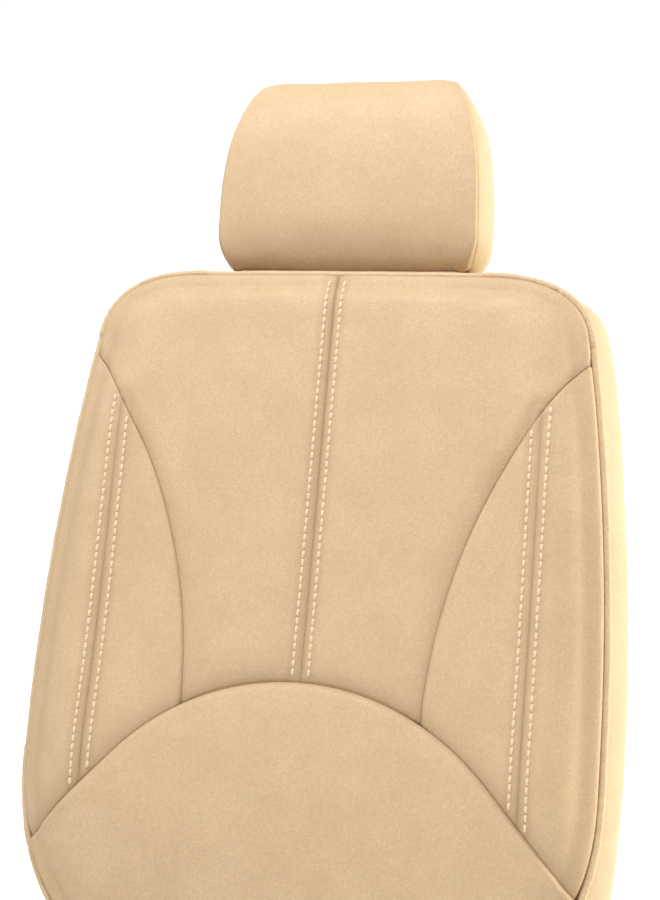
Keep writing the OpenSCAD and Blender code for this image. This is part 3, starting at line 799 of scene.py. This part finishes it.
class FacePanel:
    """A panel of the face: its simulated sheet, its relief, and the sewn leatherette."""

    def __init__(self, name, patch, relief, s, t, coarse, mirror=False, cap=3.0):
        self.name, self.relief, self.s, self.t, self.mirror = name, relief, s, t, mirror
        self.q = patch(s, t)
        even = [np.linspace(0, 1, n + 1) for n in coarse]
        start = self.place(patch(*even))
        self.sheet = Sheet(start, np.array([0, -1.0, 0]), 24.0, cap)

    def place(self, q, out=0.0):
        return face_point(flipped(q) if self.mirror else q, out)

    def make(self):
        self.out = self.relief(self.q)
        self.move = self.sheet.finer(self.s, self.t)
        outer = self.place(self.q, self.out) + self.move
        inner = self.place(self.q, np.minimum(self.out, 0) - SKIN) + self.move
        obj = new_object(self.name, *slab(outer, inner), LEATHER)
        # Painted shade in and beside the face's seams and along its welt.
        set_painted_shade(obj, face_shade)
        declare_sheet(obj, self.place(self.q), "leatherette", "root", self.name)
        self.foam()

    def foam(self):
        """The foam sewn behind the panel."""
        few = (slice(None, None, 3), slice(None, None, 3))
        q, out, move = self.q[few], np.minimum(self.out, 0)[few], self.move[few]
        front, back = (self.place(q, out - SKIN - depth) + move for depth in (FOAM_GAP, FOAM_GAP + FOAM_T))
        name = self.name.replace("_panel", "_foam").replace("bolster", "foam")
        obj = new_object(name, *slab(front, back), FOAM)
        declare_sheet(obj, self.place(q), "foam", "root", name)

    def surface(self, q, lift=0.0):
        """Points on the finished panel, lifted off it."""
        flat = self.q.reshape(-1, 2)
        near = [int(((flat - p) ** 2).sum(-1).argmin()) for p in q]
        return self.place(q, self.relief(q) + lift) + self.move.reshape(-1, 3)[near]


def finish_piece(obj, slot, body, *nodes):
    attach(obj, body)
    if nodes:
        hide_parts(*nodes)
    return obj


def declare_sheet(obj, grid, slot, body, *nodes, held="stretched"):
    """Parents a cut panel to its body and hides the CAD parts it replaces."""
    return finish_piece(obj, slot, body, *nodes)


def crease(a, b, seed, size=0.35):
    """Faint folds over a surface: a sum of long waves in two directions, in millimetres."""
    total = 0.0
    for k in range(1, 5):
        turn = seed * 1.9 + k * 2.4
        along = a * math.cos(turn) + b * math.sin(turn)
        total = total + np.sin(along / (9 + 6 * k) + seed * k) / k
    return size * total


def stitch_row(place, q, seed=0.0):
    """One row of stitches. place turns points of the line and a lift into points in space."""
    along = lengths(q)
    total = along[-1]
    count = int(total / STITCH_PITCH)
    parts = []
    for k in range(count):
        middle = (k + 0.5) * total / count + 0.25 * math.sin(k * 2.7 + seed)
        at = middle + STITCH_LENGTH * np.array([-0.5, -0.46, -0.3, 0, 0.3, 0.46, 0.5])
        p = np.stack([np.interp(at, along, q[:, c]) for c in range(2)], -1)
        path = place(p, np.array([-0.9, -0.45, 0.25, 0.5, 0.25, -0.45, -0.9]))
        thick = THREAD_R * np.array([0.45, 0.75, 0.95, 1, 0.95, 0.75, 0.45])
        parts.append(tube(path, thick, 8))
    return joined(parts)


def stitching(name, rows, body="root"):
    obj = new_object(name, *joined(rows), THREAD)
    return finish_piece(obj, "leatherette", body)


# ---- Edge of the backrest cover ----


def out_of(path):
    """Unit normals of a line, pointing out of the outline."""
    d = np.gradient(path, axis=0)
    d /= np.linalg.norm(d, axis=1, keepdims=True)
    return np.stack([d[:, 1], -d[:, 0]], -1)


def welt():
    """The piping sewn into the edge seam, slightly uneven, from foot to foot, in the lighter leatherette
    that paints a highlight along its round.
    """
    path = spaced(whole(EDGE), np.linspace(0, 1, PIPING_POINTS))
    at = np.arange(PIPING_POINTS)
    uneven = 0.12 * np.sin(at / 3.1) + 0.1 * np.sin(at / 8.3)
    place = path + out_of(path) * (PIPING_OUT + uneven)[:, None]
    points = np.stack([place[:, 0], face_y(path[:, 0], path[:, 1]) - 0.2, place[:, 1]], -1)
    ends = smooth(np.minimum(at, at[::-1]) / 4 + 0.15)
    obj = new_object("front_piping", *tube(points, PIPING_R * ends, 14), WELT_WITH_PAINTED_HIGHLIGHT)
    return finish_piece(obj, "piping", "root", "front_piping")


STRIP_T = 4.0
STRIP_BACK = BACK - 2.0


def strip_points(front, rear, v, rise_side, rise_top, depth, seed):
    """Points of an edge strip between the edge seam and the back, v from front to back."""
    share = v[None, :, None]
    base = front[:, None] + (rear - front)[:, None] * share
    out = out_of(front)[:, None] * (1 - share) + out_of(rear)[:, None] * share
    out /= np.linalg.norm(out, axis=-1, keepdims=True)
    y0 = face_y(front[:, 0], front[:, 1]) + 2.6
    y = y0[:, None] + (STRIP_BACK - y0)[:, None] * v[None]
    rise = (rise_top + (rise_side - rise_top) * out[..., 0] ** 2) * (4 * v * (1 - v))[None] ** 0.55
    rise = rise * (0.7 + 0.5 * v[None])
    rise = rise - rolled(y - y0[:, None], 2.6) - rolled(STRIP_BACK - y, 2.6)
    a, b = np.meshgrid(lengths(front), v * 90, indexing="ij")
    edge = np.minimum(v, 1 - v)[None]
    rise = rise + crease(a, b, seed, 0.4) * smooth(edge * 6) - depth
    flat = base + out * rise[..., None]
    return np.stack([flat[..., 0], y, flat[..., 1]], -1)


class Strip:
    """A side or top strip, padded, with its seams along the front and the back."""

    def __init__(self, name, front, rear, rows, columns, mirror=False):
        self.name, self.mirror, self.columns = name, mirror, columns
        shares = np.linspace(0, 1, rows + 1)
        self.front, self.rear = spaced(front, shares), spaced(rear, shares)
        every = slice(None, None, 4)
        few = self.points(self.front[every], self.rear[every], np.linspace(0, 1, 9), 0)
        out = out_of(self.front[every])
        normal = np.stack([out[:, 0], 0 * out[:, 0], out[:, 1]], -1)
        side = flipped_space(normal) if mirror else normal
        self.sheet = Sheet(few, np.repeat(side[:, None], 9, 1), 18.0, 2.0)

    def points(self, front, rear, v, depth):
        grid = strip_points(front, rear, v, 16.0, 3.0, depth, 1.0 + self.mirror)
        return flipped_space(grid) if self.mirror else grid

    def make(self):
        v = gathered(self.columns, True, True)
        move = self.sheet.finer(v, np.linspace(0, 1, len(self.front)))
        outer = self.points(self.front, self.rear, v, 0) + move
        inner = self.points(self.front, self.rear, v, STRIP_T) + move * 0.9
        obj = new_object(self.name, *slab(outer, inner), LEATHER)
        # Painted shade along the strip's back edge, at its seam with the back.
        set_painted_shade(obj, lambda p: 0.6 * swell(p[:, 1] - p[:, 1].max(), 3))
        return declare_sheet(obj, outer, "leatherette", "root", self.name)


def flipped_space(points):
    return points * np.array([-1.0, 1, 1])


def cut_holes(obj, places, radius):
    """Cuts upright round holes through a piece."""
    for x in places:
        bpy.ops.mesh.primitive_cylinder_add(vertices=48, radius=radius * MM, depth=0.06)
        cutter = bpy.context.object
        cutter.location = (x * MM, 0, TOP * MM)
        cut = obj.modifiers.new("hole", "BOOLEAN")
        cut.operation, cut.object, cut.solver = "DIFFERENCE", cutter, "EXACT"
        bpy.context.view_layer.update()
        mesh = bpy.data.meshes.new_from_object(obj.evaluated_get(bpy.context.evaluated_depsgraph_get()))
        obj.modifiers.clear()
        obj.data = mesh
        bpy.data.objects.remove(cutter)


# ---- Back of the cover ----


def yoke_patch(s, t):
    shoulder = REAR_SHOULDER
    right_z = np.linspace(ZIP_TOP + 0.4, REAR_SHOULDER_Z, 30)
    right = line(side_x(right_z), right_z)
    bottom = line(np.linspace(-right[0, 0], right[0, 0], 30), ZIP_TOP + 0.4)
    straight = line(np.linspace(-shoulder[-1, 0], shoulder[-1, 0], 60), BACK_H)
    top = np.concatenate([flipped(shoulder), straight[1:-1], shoulder[::-1]])
    return coons(flipped(right), right, bottom, top, s, t)


def middle_patch(s, t):
    w = ZIP_X - 6
    right = line(w, np.linspace(0, ZIP_TOP, 30))
    across = np.linspace(-w, w, 30)
    return coons(flipped(right), right, line(across, 0), line(across, ZIP_TOP), s, t)


def side_patch(s, t):
    w = ZIP_X + 6
    side_z = np.linspace(REAR_HIP_Z, ZIP_TOP, 40)[1:]
    right = np.concatenate([REAR_HIP, line(side_x(side_z), side_z)])
    left = line(w, np.linspace(0, ZIP_TOP, 30))
    foot = line(np.linspace(w, REAR_HIP[0, 0], 8), 0)
    top = line(np.linspace(w, right[-1, 0], 10), ZIP_TOP)
    return coons(left, right, foot, top, s, t)


KNIT_T = 2.8


class BackPanel:
    """A panel of knitted fabric on the back."""

    def __init__(self, name, patch, size, coarse, mirror=False):
        self.name, self.mirror = name, mirror
        self.s, self.t = (gathered(n, True, True) for n in size)
        self.q = patch(self.s, self.t)
        start = self.place(patch(*[np.linspace(0, 1, n + 1) for n in coarse]), 0)
        self.sheet = Sheet(start, np.array([0, 1.0, 0]), 16.0, 4.0)

    def place(self, q, out):
        q = flipped(q) if self.mirror else q
        return np.stack([q[..., 0], BACK + out + 0 * q[..., 0], q[..., 1]], -1)

    def make(self):
        s, t = np.meshgrid(self.s, self.t)
        rim = np.minimum(np.minimum(s, 1 - s), np.minimum(t, 1 - t))
        sides = np.linalg.norm(self.q[:, -1] - self.q[:, 0], axis=-1)[:, None]
        near = np.minimum(np.minimum(s, 1 - s) * sides, np.minimum(t, 1 - t) * np.ptp(self.q[..., 1]))
        out = crease(self.q[..., 0], self.q[..., 1], len(self.name), 0.55) * smooth(rim * 8)
        out = out - rolled(near, 1.4)
        move = self.sheet.finer(self.s, self.t)
        outer = self.place(self.q, out) + move
        inner = self.place(self.q, rolled(near, 1.2) - KNIT_T) + move
        obj = new_object(self.name, *slab(outer, inner), KNIT)
        return declare_sheet(obj, self.place(self.q, 0), "back_fabric", "root", self.name)


TOOTH_PITCH = 2.9


def zipper(side):
    """Two tapes and two rows of moulded teeth that mesh."""
    x0 = ZIP_X * side
    low, high = corners("zipper_right")
    y = (low[1] + high[1]) / 2
    parts = []
    for hand in (-1, 1):
        inner, outer = x0 + hand * 0.4, x0 + hand * 7.4
        x = [min(inner, outer), max(inner, outer)]
        parts.append(box_mesh([x[0], y - 0.4, low[2]], [x[1], y + 0.4, high[2]], 0.15))
    finish_piece(new_object(f"zipper_tape_{NAME[side]}", *joined(parts), TAPE), "webbing", "root")
    teeth = []
    for k in range(int((high[2] - low[2]) / TOOTH_PITCH)):
        hand = 1 if k % 2 else -1
        z = low[2] + k * TOOTH_PITCH
        a, b = sorted([x0 - hand * 0.9, x0 + hand * 2.4])
        teeth.append(box_mesh([a, y - 1.2, z + 0.3], [b, y + 1.2, z + 2.3], 0.35))
    obj = new_object(f"zipper_{NAME[side]}", *joined(teeth), TEETH)
    finish_piece(obj, "zipper_plastic", "root", f"zipper_{NAME[side]}")


def soft_slab(name, grid, thick, outward, material, edge=1.4):
    """A sheet of cloth on a grid, thinner at its rim. Returns the object."""
    across = np.cumsum(np.linalg.norm(np.diff(grid, axis=1, prepend=grid[:, :1]), axis=-1), 1)
    up = np.cumsum(np.linalg.norm(np.diff(grid, axis=0, prepend=grid[:1]), axis=-1), 0)
    near = np.minimum(np.minimum(across, across[:, -1:] - across), np.minimum(up, up[-1:] - up))
    thin = rolled(near, min(edge, thick / 2 - 0.1))[..., None]
    normal = grid_normals(grid, outward)
    outer = grid + normal * (thick / 2 - thin)
    inner = grid - normal * (thick / 2 - thin)
    return new_object(name, *slab(outer, inner), material)


BINDING_R = 1.9
BINDING_RISE = 0.9
BINDING_FALL = 12.6


def map_pocket():
    """A pouch open at the top, with a gathered elastic binding round its mouth."""
    low, high = corners("map_pocket")
    s, t = np.meshgrid(gathered(90, True, True), gathered(70, True, False))
    x, z = low[0] + (high[0] - low[0]) * s, low[2] + (high[2] - low[2]) * t
    side = np.minimum(x - low[0], high[0] - x)
    bulge = smooth(side / 26) ** 0.8 * smooth((z - low[2]) / 30) ** 0.8
    mouth = smooth((z - high[2] + 60) / 60)
    gather = 0.9 * np.sin(x / 2.6) * mouth + crease(x, z, 3.0, 0.7) * bulge
    sag = 2.5 * mouth * (1 - (x / high[0]) ** 2)
    y = BACK + 1.3 + (9.2 * (1 - 0.25 * mouth) + gather) * bulge + sag * bulge * 0.4
    z = z - sag * 1.6
    grid = np.stack([x, y, z], -1)
    obj = soft_slab("map_pocket", grid, 1.6, np.array([0, 1.0, 0]), KNIT)
    declare_sheet(obj, grid, "back_fabric", "root", "map_pocket", held="gathered")
    ring = np.linspace(0, 2 * math.pi, 24, endpoint=False)
    fall = np.where(np.sin(ring) > 0, BINDING_RISE, BINDING_FALL)
    over = np.stack([0 * ring, BINDING_R * np.cos(ring), fall * np.sin(ring)], -1)
    rings = grid[-1, 4:-4, None] + over
    faces = ring_faces(len(rings), len(ring))
    binding = new_object("pocket_binding", rings.reshape(-1, 3), faces, BINDING)
    return finish_piece(binding, "webbing", "root", "pocket_binding")


def rear_hem():
    low, high = corners("rear_hem")
    x, z = np.meshgrid(np.linspace(low[0], high[0], 90), np.linspace(low[2], high[2], 12))
    grid = np.stack([x, (low[1] + high[1]) / 2 + crease(x, z, 5.0, 0.12), z], -1)
    obj = soft_slab("rear_hem", grid, high[1] - low[1], np.array([0, 1.0, 0]), LEATHER, 0.6)
    declare_sheet(obj, grid, "leatherette", "root", "rear_hem")
    row = line(np.linspace(low[0] + 4, high[0] - 4, 40), high[2] - 3.5)
    behind = lambda p, lift: np.stack([p[:, 0], high[1] + lift, p[:, 1]], -1)
    stitching("hem_stitching", [stitch_row(behind, row)])


# ---- Bottom fastenings ----


def bottom_flap():
    """The flap of leatherette that passes under the backrest, with a rolled hem on its hinge."""
    low, high = corners("bottom_flap")
    thick = high[2] - low[2]
    hinge = low[1] + thick / 2
    reach = high[1] - hinge
    s, t = np.meshgrid(np.linspace(-1, 1, 80), gathered(40, False, True))
    width = high[0] - 14 * unit(t * reach / 63) - 12 * smooth((t * reach - 63) / 8)
    x, y = s * width, hinge + t * reach
    edge = smooth(np.minimum(1 - np.abs(s), 1 - t) * 8)
    grid = np.stack([x, y, (low[2] + high[2]) / 2 + crease(x, y, 2.0, 0.15) * edge * t], -1)
    flap = soft_slab("bottom_flap", grid, thick - 0.4, np.array([0, 0, 1.0]), LEATHER)
    declare_sheet(flap, grid, "leatherette", "flap", "bottom_flap")
    ends = line([low[0] + 1, high[0] - 1], 0)
    path = spaced(ends, np.linspace(0, 1, 60))
    bead = np.stack([path[:, 0], hinge + 0 * path[:, 0], (low[2] + high[2]) / 2 + 0 * path[:, 0]], -1)
    # The rolled hem takes the lighter leatherette too, a painted highlight.
    hem = new_object("flap_rolled_hem", *tube(bead, thick / 2, 14), WELT_WITH_PAINTED_HIGHLIGHT)
    finish_piece(hem, "piping", "flap")
    outline = [(-0.94, 0.1), (-0.94, 0.8), (-0.88, 0.93), (0.88, 0.93), (0.94, 0.8), (0.94, 0.1)]
    half = [np.interp(b, t[:, 0], width[:, 0]) for _, b in outline]
    line_in = np.array([(a * w, hinge + b * reach) for (a, b), w in zip(outline, half)])
    under = lambda p, lift: np.stack([p[:, 0], p[:, 1], low[2] + 0.2 - lift], -1)
    stitching("flap_stitching", [stitch_row(under, line_in)], "flap")


WIRE_R = 1.6
STRAP_W = 20.0
STRAP_PLY = 0.85


def strap(side):
    """Elastic webbing sewn inside the back and folded round the hook's bar."""
    top = corners("strap_right")[1][2]
    hook = corners("steel_hook_right")[1][2] - WIRE_R
    y = BACK - 4.0
    loop = 2.9
    a = np.linspace(0, math.pi, 14)
    back = [(y + STRAP_PLY, z) for z in np.linspace(top, hook + 7, 14)]
    turn = [(y + loop * math.cos(b), hook - loop * math.sin(b)) for b in a]
    front = [(y - STRAP_PLY, z) for z in np.linspace(hook + 7, hook + 26, 8)]
    path = np.array(back + turn + front)
    x = np.linspace(-STRAP_W / 2, STRAP_W / 2, 14) + STRAP_X * side
    grid = np.stack(np.broadcast_arrays(x, path[:, :1], path[:, 1:]), -1)
    outward = np.stack([0 * path[:, 0], -np.gradient(path[:, 1]), np.gradient(path[:, 0])], -1)[:, None]
    obj = soft_slab(f"strap_{NAME[side]}", grid, 1.5, outward, TAPE, 0.4)
    declare_sheet(obj, grid, "webbing", "root", f"strap_{NAME[side]}", held="folded")
    inside = lambda p, lift: np.stack([p[:, 0], y - 2 * STRAP_PLY - lift, p[:, 1]], -1)
    rows = []
    for z in (hook + 9, hook + 14, hook + 19):
        q = line(np.linspace(-8.5, 8.5, 6) + STRAP_X * side, z)
        rows.append(stitch_row(inside, q))
    stitching(f"strap_bartack_{NAME[side]}", rows)


# ---- Headrest cover ----

HEAD_W = 128.0
HEAD_H = 192.0
HEAD_D = 100.0
HEAD_Y = -8.0
HEAD_Z = TOP + 5.5 + HEAD_H / 2
HEAD_POWER = 3.2
HEAD_ROLL = 6.0
HEAD_FLARE = 5.0
HEAD_LEAN = 7.0
HEAD_TAPER = 36.0
HEAD_FOOT = 36.0
HEAD_TUCK = 18.0
HEAD_SIDE_T = 4.0


HEAD_WIDE = HEAD_Z - HEAD_H / 2 + HEAD_FOOT


def signed_power(v, k):
    return np.sign(v) * np.abs(v) ** k


def head_x(z):
    """Half width of the headrest at a height, widest a little above its foot."""
    top = np.maximum(0, z - HEAD_WIDE) / (HEAD_H - HEAD_FOOT)
    foot = np.maximum(0, HEAD_WIDE - z) / HEAD_FOOT
    return HEAD_W - HEAD_TAPER * top**3 - HEAD_TUCK * foot**2


def head_lean(y, z):
    """Set-back of the lower front, so that the headrest is fullest in its upper part."""
    low = smooth((HEAD_Z + 30 - z) / 110)
    return y + HEAD_LEAN * low * smooth((HEAD_Y + 20 - y) / 40)


def head_point(turn, share, depth):
    roll = HEAD_ROLL * (1 - unit(1 - np.abs(share) ** 4) ** 0.25)
    y = HEAD_Y - signed_power(np.cos(turn), 2 / HEAD_POWER) * (HEAD_D / 2 - roll - depth)
    z = HEAD_Z + signed_power(np.sin(turn), 2 / HEAD_POWER) * (HEAD_H / 2 - roll - depth)
    half = head_x(z) - 1 - HEAD_FLARE * np.abs(np.cos(turn))
    return np.stack([share * half, head_lean(y, z), z], -1)


def head_turns(t):
    """Turns round the wrap for shares, slowed at the corners so that the cells stay even."""
    turn = np.linspace(math.radians(-75), math.radians(255), 2000)
    p = head_point(turn, np.zeros(2000), 0)
    return np.interp(t, lengths(p) / lengths(p)[-1], turn)


class HeadWrap:
    def __init__(self):
        s, t = np.meshgrid(np.linspace(-1, 1, 29), head_turns(np.linspace(0, 1, 61)))
        grid = head_point(t, s, 0)
        middle = np.array([0, HEAD_Y, HEAD_Z])
        outward = (grid - middle) * np.array([0.0, 1, 1])
        self.sheet = Sheet(grid, outward, 26.0, 3.0)

    def layer(self, s, t, depth, share=1.0):
        shares, turns = np.meshgrid((2 * s - 1) * share, head_turns(t))
        out = 0.0 if depth else crease(shares * HEAD_W, turns * 60, 4.0, 0.3)
        move = self.sheet.finer(0.5 + (s - 0.5) * share, t)
        edge = HEAD_W * (1 - np.abs(shares))
        return head_point(turns, shares, depth + rolled(edge, 1.6) - out * smooth(edge / 20)) + move

    def make(self):
        s, t = gathered(110, True, True), np.linspace(0, 1, 190)
        outer = self.layer(s, t, 0)
        obj = new_object("headrest_wrap", *slab(outer, self.layer(s, t, 2.0)), LEATHER)
        # Painted shade along the wrap's side edges, at its seams with the side panels.
        set_painted_shade(obj, lambda v: 0.8 * np.exp(-np.maximum(0, head_x(v[:, 2]) - 1 - np.abs(v[:, 0])) / 2.5))
        declare_sheet(obj, outer, "leatherette", "headrest", "headrest_wrap")
        s, t = np.linspace(0, 1, 30), np.linspace(0.03, 0.97, 60)
        front = self.layer(s, t, 2.4, 0.955)
        pad = new_object("headrest_foam", *slab(front, self.layer(s, t, 7.4, 0.955)), FOAM)
        declare_sheet(pad, front, "foam", "headrest", "headrest_foam")


def head_side(side):
    """Padded side panel of the headrest, sewn into the edge of the wrap."""
    u, v = np.meshgrid(gathered(56, True, True) * 2 - 1, gathered(56, True, True) * 2 - 1)
    a, b = u * np.sqrt(1 - v * v / 2), v * np.sqrt(1 - u * u / 2)
    r = np.minimum(1, np.hypot(a, b))
    turn = np.arctan2(b, a)
    inset = HEAD_ROLL + 0.4

    def layer(depth, shrink):
        k = r * (1 - shrink / 60)
        y = HEAD_Y + signed_power(np.cos(turn), 2 / HEAD_POWER) * k * (HEAD_D / 2 - inset)
        z = HEAD_Z + signed_power(np.sin(turn), 2 / HEAD_POWER) * k * (HEAD_H / 2 - inset)
        puff = (HEAD_FLARE + 3.5) * (1 - r**2.2) ** 0.7 + crease(y, z, 6.0 + side, 0.25) * (1 - r**6)
        rim = HEAD_FLARE * np.abs(np.cos(turn)) * r + HEAD_FLARE * (1 - r)
        x = head_x(z) - 1 - rim + puff - rolled((1 - r) * 40, 2.0) - depth
        return np.stack([side * x, head_lean(y, z), z], -1)

    outer = layer(0, 0)
    obj = new_object(f"headrest_side_{NAME[side]}", *slab(outer, layer(HEAD_SIDE_T, 1.5)), LEATHER)
    rim = outer[0][None, ::4]
    # Painted shade round the side panel's rim, at its seam with the wrap.
    set_painted_shade(obj, lambda p: 0.8 * np.exp(-np.linalg.norm(p[:, None] - rim, axis=-1).min(1) / 3))
    declare_sheet(obj, outer, "leatherette", "headrest", f"headrest_side_{NAME[side]}")


# ---- Everything is cut, sewn and dressed ----

HANDS = (("left", True), ("right", False))
PANELS = {}
for hand, mirror in HANDS:
    PANELS["centre", hand] = FacePanel(
        f"centre_panel_{hand}", centre_patch, centre_relief,
        np.linspace(0, 1, 101), gathered(170, False, True), (26, 44), mirror)
    PANELS["inner", hand] = FacePanel(
        f"inner_bolster_{hand}", inner_patch, bolster_relief,
        np.linspace(0, 1, 37), np.linspace(0, 1, 141), (12, 40), mirror, 2.0)
    PANELS["outer", hand] = FacePanel(
        f"outer_bolster_{hand}", outer_patch, bolster_relief,
        gathered(44, False, True), np.linspace(0, 1, 171), (9, 52), mirror, 2.0)
PANELS["lower", ""] = FacePanel(
    "lower_panel", lower_patch, lower_relief,
    gathered(240, True, True), gathered(110, True, False), (60, 30))

below, above = slice(None, SHOULDER_JOINT + 1), slice(SHOULDER_JOINT, None)
STRIPS = [Strip("top_strip", whole(EDGE[above]), whole(REAR[above]), 160, 40)]
for hand, mirror in HANDS:
    STRIPS.append(Strip(f"side_strip_{hand}", EDGE[below], REAR[below], 220, 40, mirror))
BACKS = [
    BackPanel("back_yoke", yoke_patch, (110, 60), (50, 18)),
    BackPanel("back_panel", middle_patch, (90, 110), (36, 44)),
]
for hand, mirror in HANDS:
    BACKS.append(BackPanel(f"back_side_{hand}", side_patch, (34, 110), (9, 44), mirror))
head_wrap = HeadWrap()

run_cloth()

for piece in list(PANELS.values()) + STRIPS + BACKS + [head_wrap]:
    piece.make()
cut_holes(bpy.data.objects["top_strip"], (-POST_X, POST_X), 10.0)
welt()
for side in (-1, 1):
    head_side(side)
    zipper(side)
    strap(side)
map_pocket()
rear_hem()
bottom_flap()


def row_line(x):
    """The line of one row of stitches, upright at x, from the arch to the seam above."""
    reach = CURVE_X + CURVE_R - x
    head = BACK_H - 7 if x < CURVE_X else CURVE_Z + math.sqrt(CURVE_R**2 - reach**2) - 5
    return line(x, np.linspace(float(arch_at(x)) + 5, head, 120))


def sewn_row(panel, hand, x, seed):
    return stitch_row(PANELS[panel, hand].surface, row_line(x), seed)


centre_rows = [sewn_row("centre", hand, ROW_OFFSET, k) for k, (hand, _) in enumerate(HANDS)]
stitching("centre_stitching", centre_rows)
for hand, _ in HANDS:
    inner_row = sewn_row("inner", hand, BOLSTER_X - ROW_OFFSET, 3.0)
    stitching(f"bolster_stitching_{hand}", [inner_row, sewn_row("outer", hand, BOLSTER_X + ROW_OFFSET, 5.0)])


def dress(material, width, *nodes):
    """Gives CAD pieces their material and softens their edges."""
    for name in nodes:
        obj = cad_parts[name]
        obj.data.materials.clear()
        obj.data.materials.append(material)
        bevel = obj.modifiers.new("edge", "BEVEL")
        bevel.width, bevel.segments, bevel.limit_method = width * MM, 2, "ANGLE"
        bevel.angle_limit = math.radians(35)


def both(name):
    return f"{name}_left", f"{name}_right"


dress(EYELET, 0.3, *both("eyelet"), *both("eyelet_washer"))
dress(TEETH, 0.4, "zipper_stops")
dress(STEEL, 0.3, *both("zipper_slider"), *both("zipper_pull"))
dress(STEEL, 0.1, *both("steel_hook"))
dress(PILE, 0.15, "hem_loop_strip", "flap_hook_strip", "closure_hook_strip", "closure_loop_strip")
dress(LEATHER, 0.8, "headrest_closure")

# ---- Floor, light and camera ----


FLOOR_Z = -0.15
SKY_STRENGTH = 0.47
CAMERA_TURNS = (15.0, -10.02, 4.94)
CAMERA_DISTANCE = 1.302
CAMERA_TARGET = (0.0055, -0.05, 0.4526)
CAMERA_LENS = 58.36


def softbox(name, place, target, size, power, colour=(1, 1, 1)):
    light = bpy.data.lights.new(name, "AREA")
    light.shape, light.size, light.size_y = "RECTANGLE", *size
    light.energy, light.color = power, colour
    obj = bpy.data.objects.new(name, light)
    obj.location = place
    from_target = np.array(place) - np.array(target)
    obj.rotation_mode = "QUATERNION"
    obj.rotation_quaternion = Vector(from_target).to_track_quat("Z", "Y")
    bpy.context.scene.collection.objects.link(obj)


def studio():
    """A pale sweep that turns up behind, with soft light from the right, above and the left."""
    back, bend = 2.0, 1.2
    profile = [(-4.0, 0.0), (back, 0.0)]
    for a in np.linspace(0.1, math.pi / 2, 12):
        profile.append((back + bend * math.sin(a), bend - bend * math.cos(a)))
    profile.append((3.2, 5.0))
    verts = [(x, y, z + FLOOR_Z) for y, z in profile for x in (-5.0, 5.0)]
    faces = [(2 * k, 2 * k + 1, 2 * k + 3, 2 * k + 2) for k in range(len(profile) - 1)]
    mesh = bpy.data.meshes.new("floor")
    mesh.from_pydata(verts, [], faces)
    mesh.polygons.foreach_set("use_smooth", [True] * len(faces))
    floor = bpy.data.objects.new("floor", mesh)
    bpy.context.scene.collection.objects.link(floor)
    n = Nodes("studio_paper")
    mesh.materials.append(n.finish((0.86, 0.86, 0.855), n.ramp(n.noise(4.0), 0, 1, 0.85, 0.95), None))
    world = bpy.data.worlds.new("studio")
    world.use_nodes = True
    sky = world.node_tree.nodes["Background"]
    sky.inputs["Color"].default_value = (1.0, 1.0, 1.0, 1)
    sky.inputs["Strength"].default_value = SKY_STRENGTH
    bpy.context.scene.world = world
    middle = (0, 0, 0.4)
    softbox("key", (2.0, 0.75, 0.75), middle, (0.8, 1.6), 52, (1.0, 0.97, 0.78))
    softbox("overhead", (0.1, -1.3, 2.1), (0, 0, 0.6), (1.2, 0.8), 41)
    softbox("fill", (-1.6, -1.1, 1.6), middle, (1.2, 1.2), 12)
    softbox("rear", (0.3, 2.0, 1.6), middle, (1.6, 1.0), 7)
    for side, hand in NAME.items():
        softbox(f"backdrop_wash_{hand}", (side * 1.4, 0.9, 1.3), (side * 1.0, 3.2, 1.0), (2.0, 2.0), 52)
    bpy.context.scene.view_settings.view_transform = "Standard"


def camera():
    """The photographer's place: low, a little to the right, and slightly rolled."""
    azimuth, elevation, roll = (math.radians(a) for a in CAMERA_TURNS)
    level = math.cos(elevation)
    back = np.array([math.sin(azimuth) * level, -math.cos(azimuth) * level, math.sin(elevation)])
    right = np.cross(-back, [0, 0, 1])
    right /= np.linalg.norm(right)
    up = np.cross(right, -back)
    x_axis = math.cos(roll) * right + math.sin(roll) * up
    y_axis = math.cos(roll) * up - math.sin(roll) * right
    data = bpy.data.cameras.new("camera")
    data.lens, data.sensor_width, data.sensor_fit = CAMERA_LENS, 36.0, "AUTO"
    obj = bpy.data.objects.new("camera", data)
    bpy.context.scene.collection.objects.link(obj)
    matrix = Matrix.Identity(4)
    for row in range(3):
        matrix[row][0], matrix[row][1], matrix[row][2] = x_axis[row], y_axis[row], back[row]
        matrix[row][3] = CAMERA_TARGET[row] + back[row] * CAMERA_DISTANCE
    obj.matrix_world = matrix
    bpy.context.scene.camera = obj


studio()
camera()
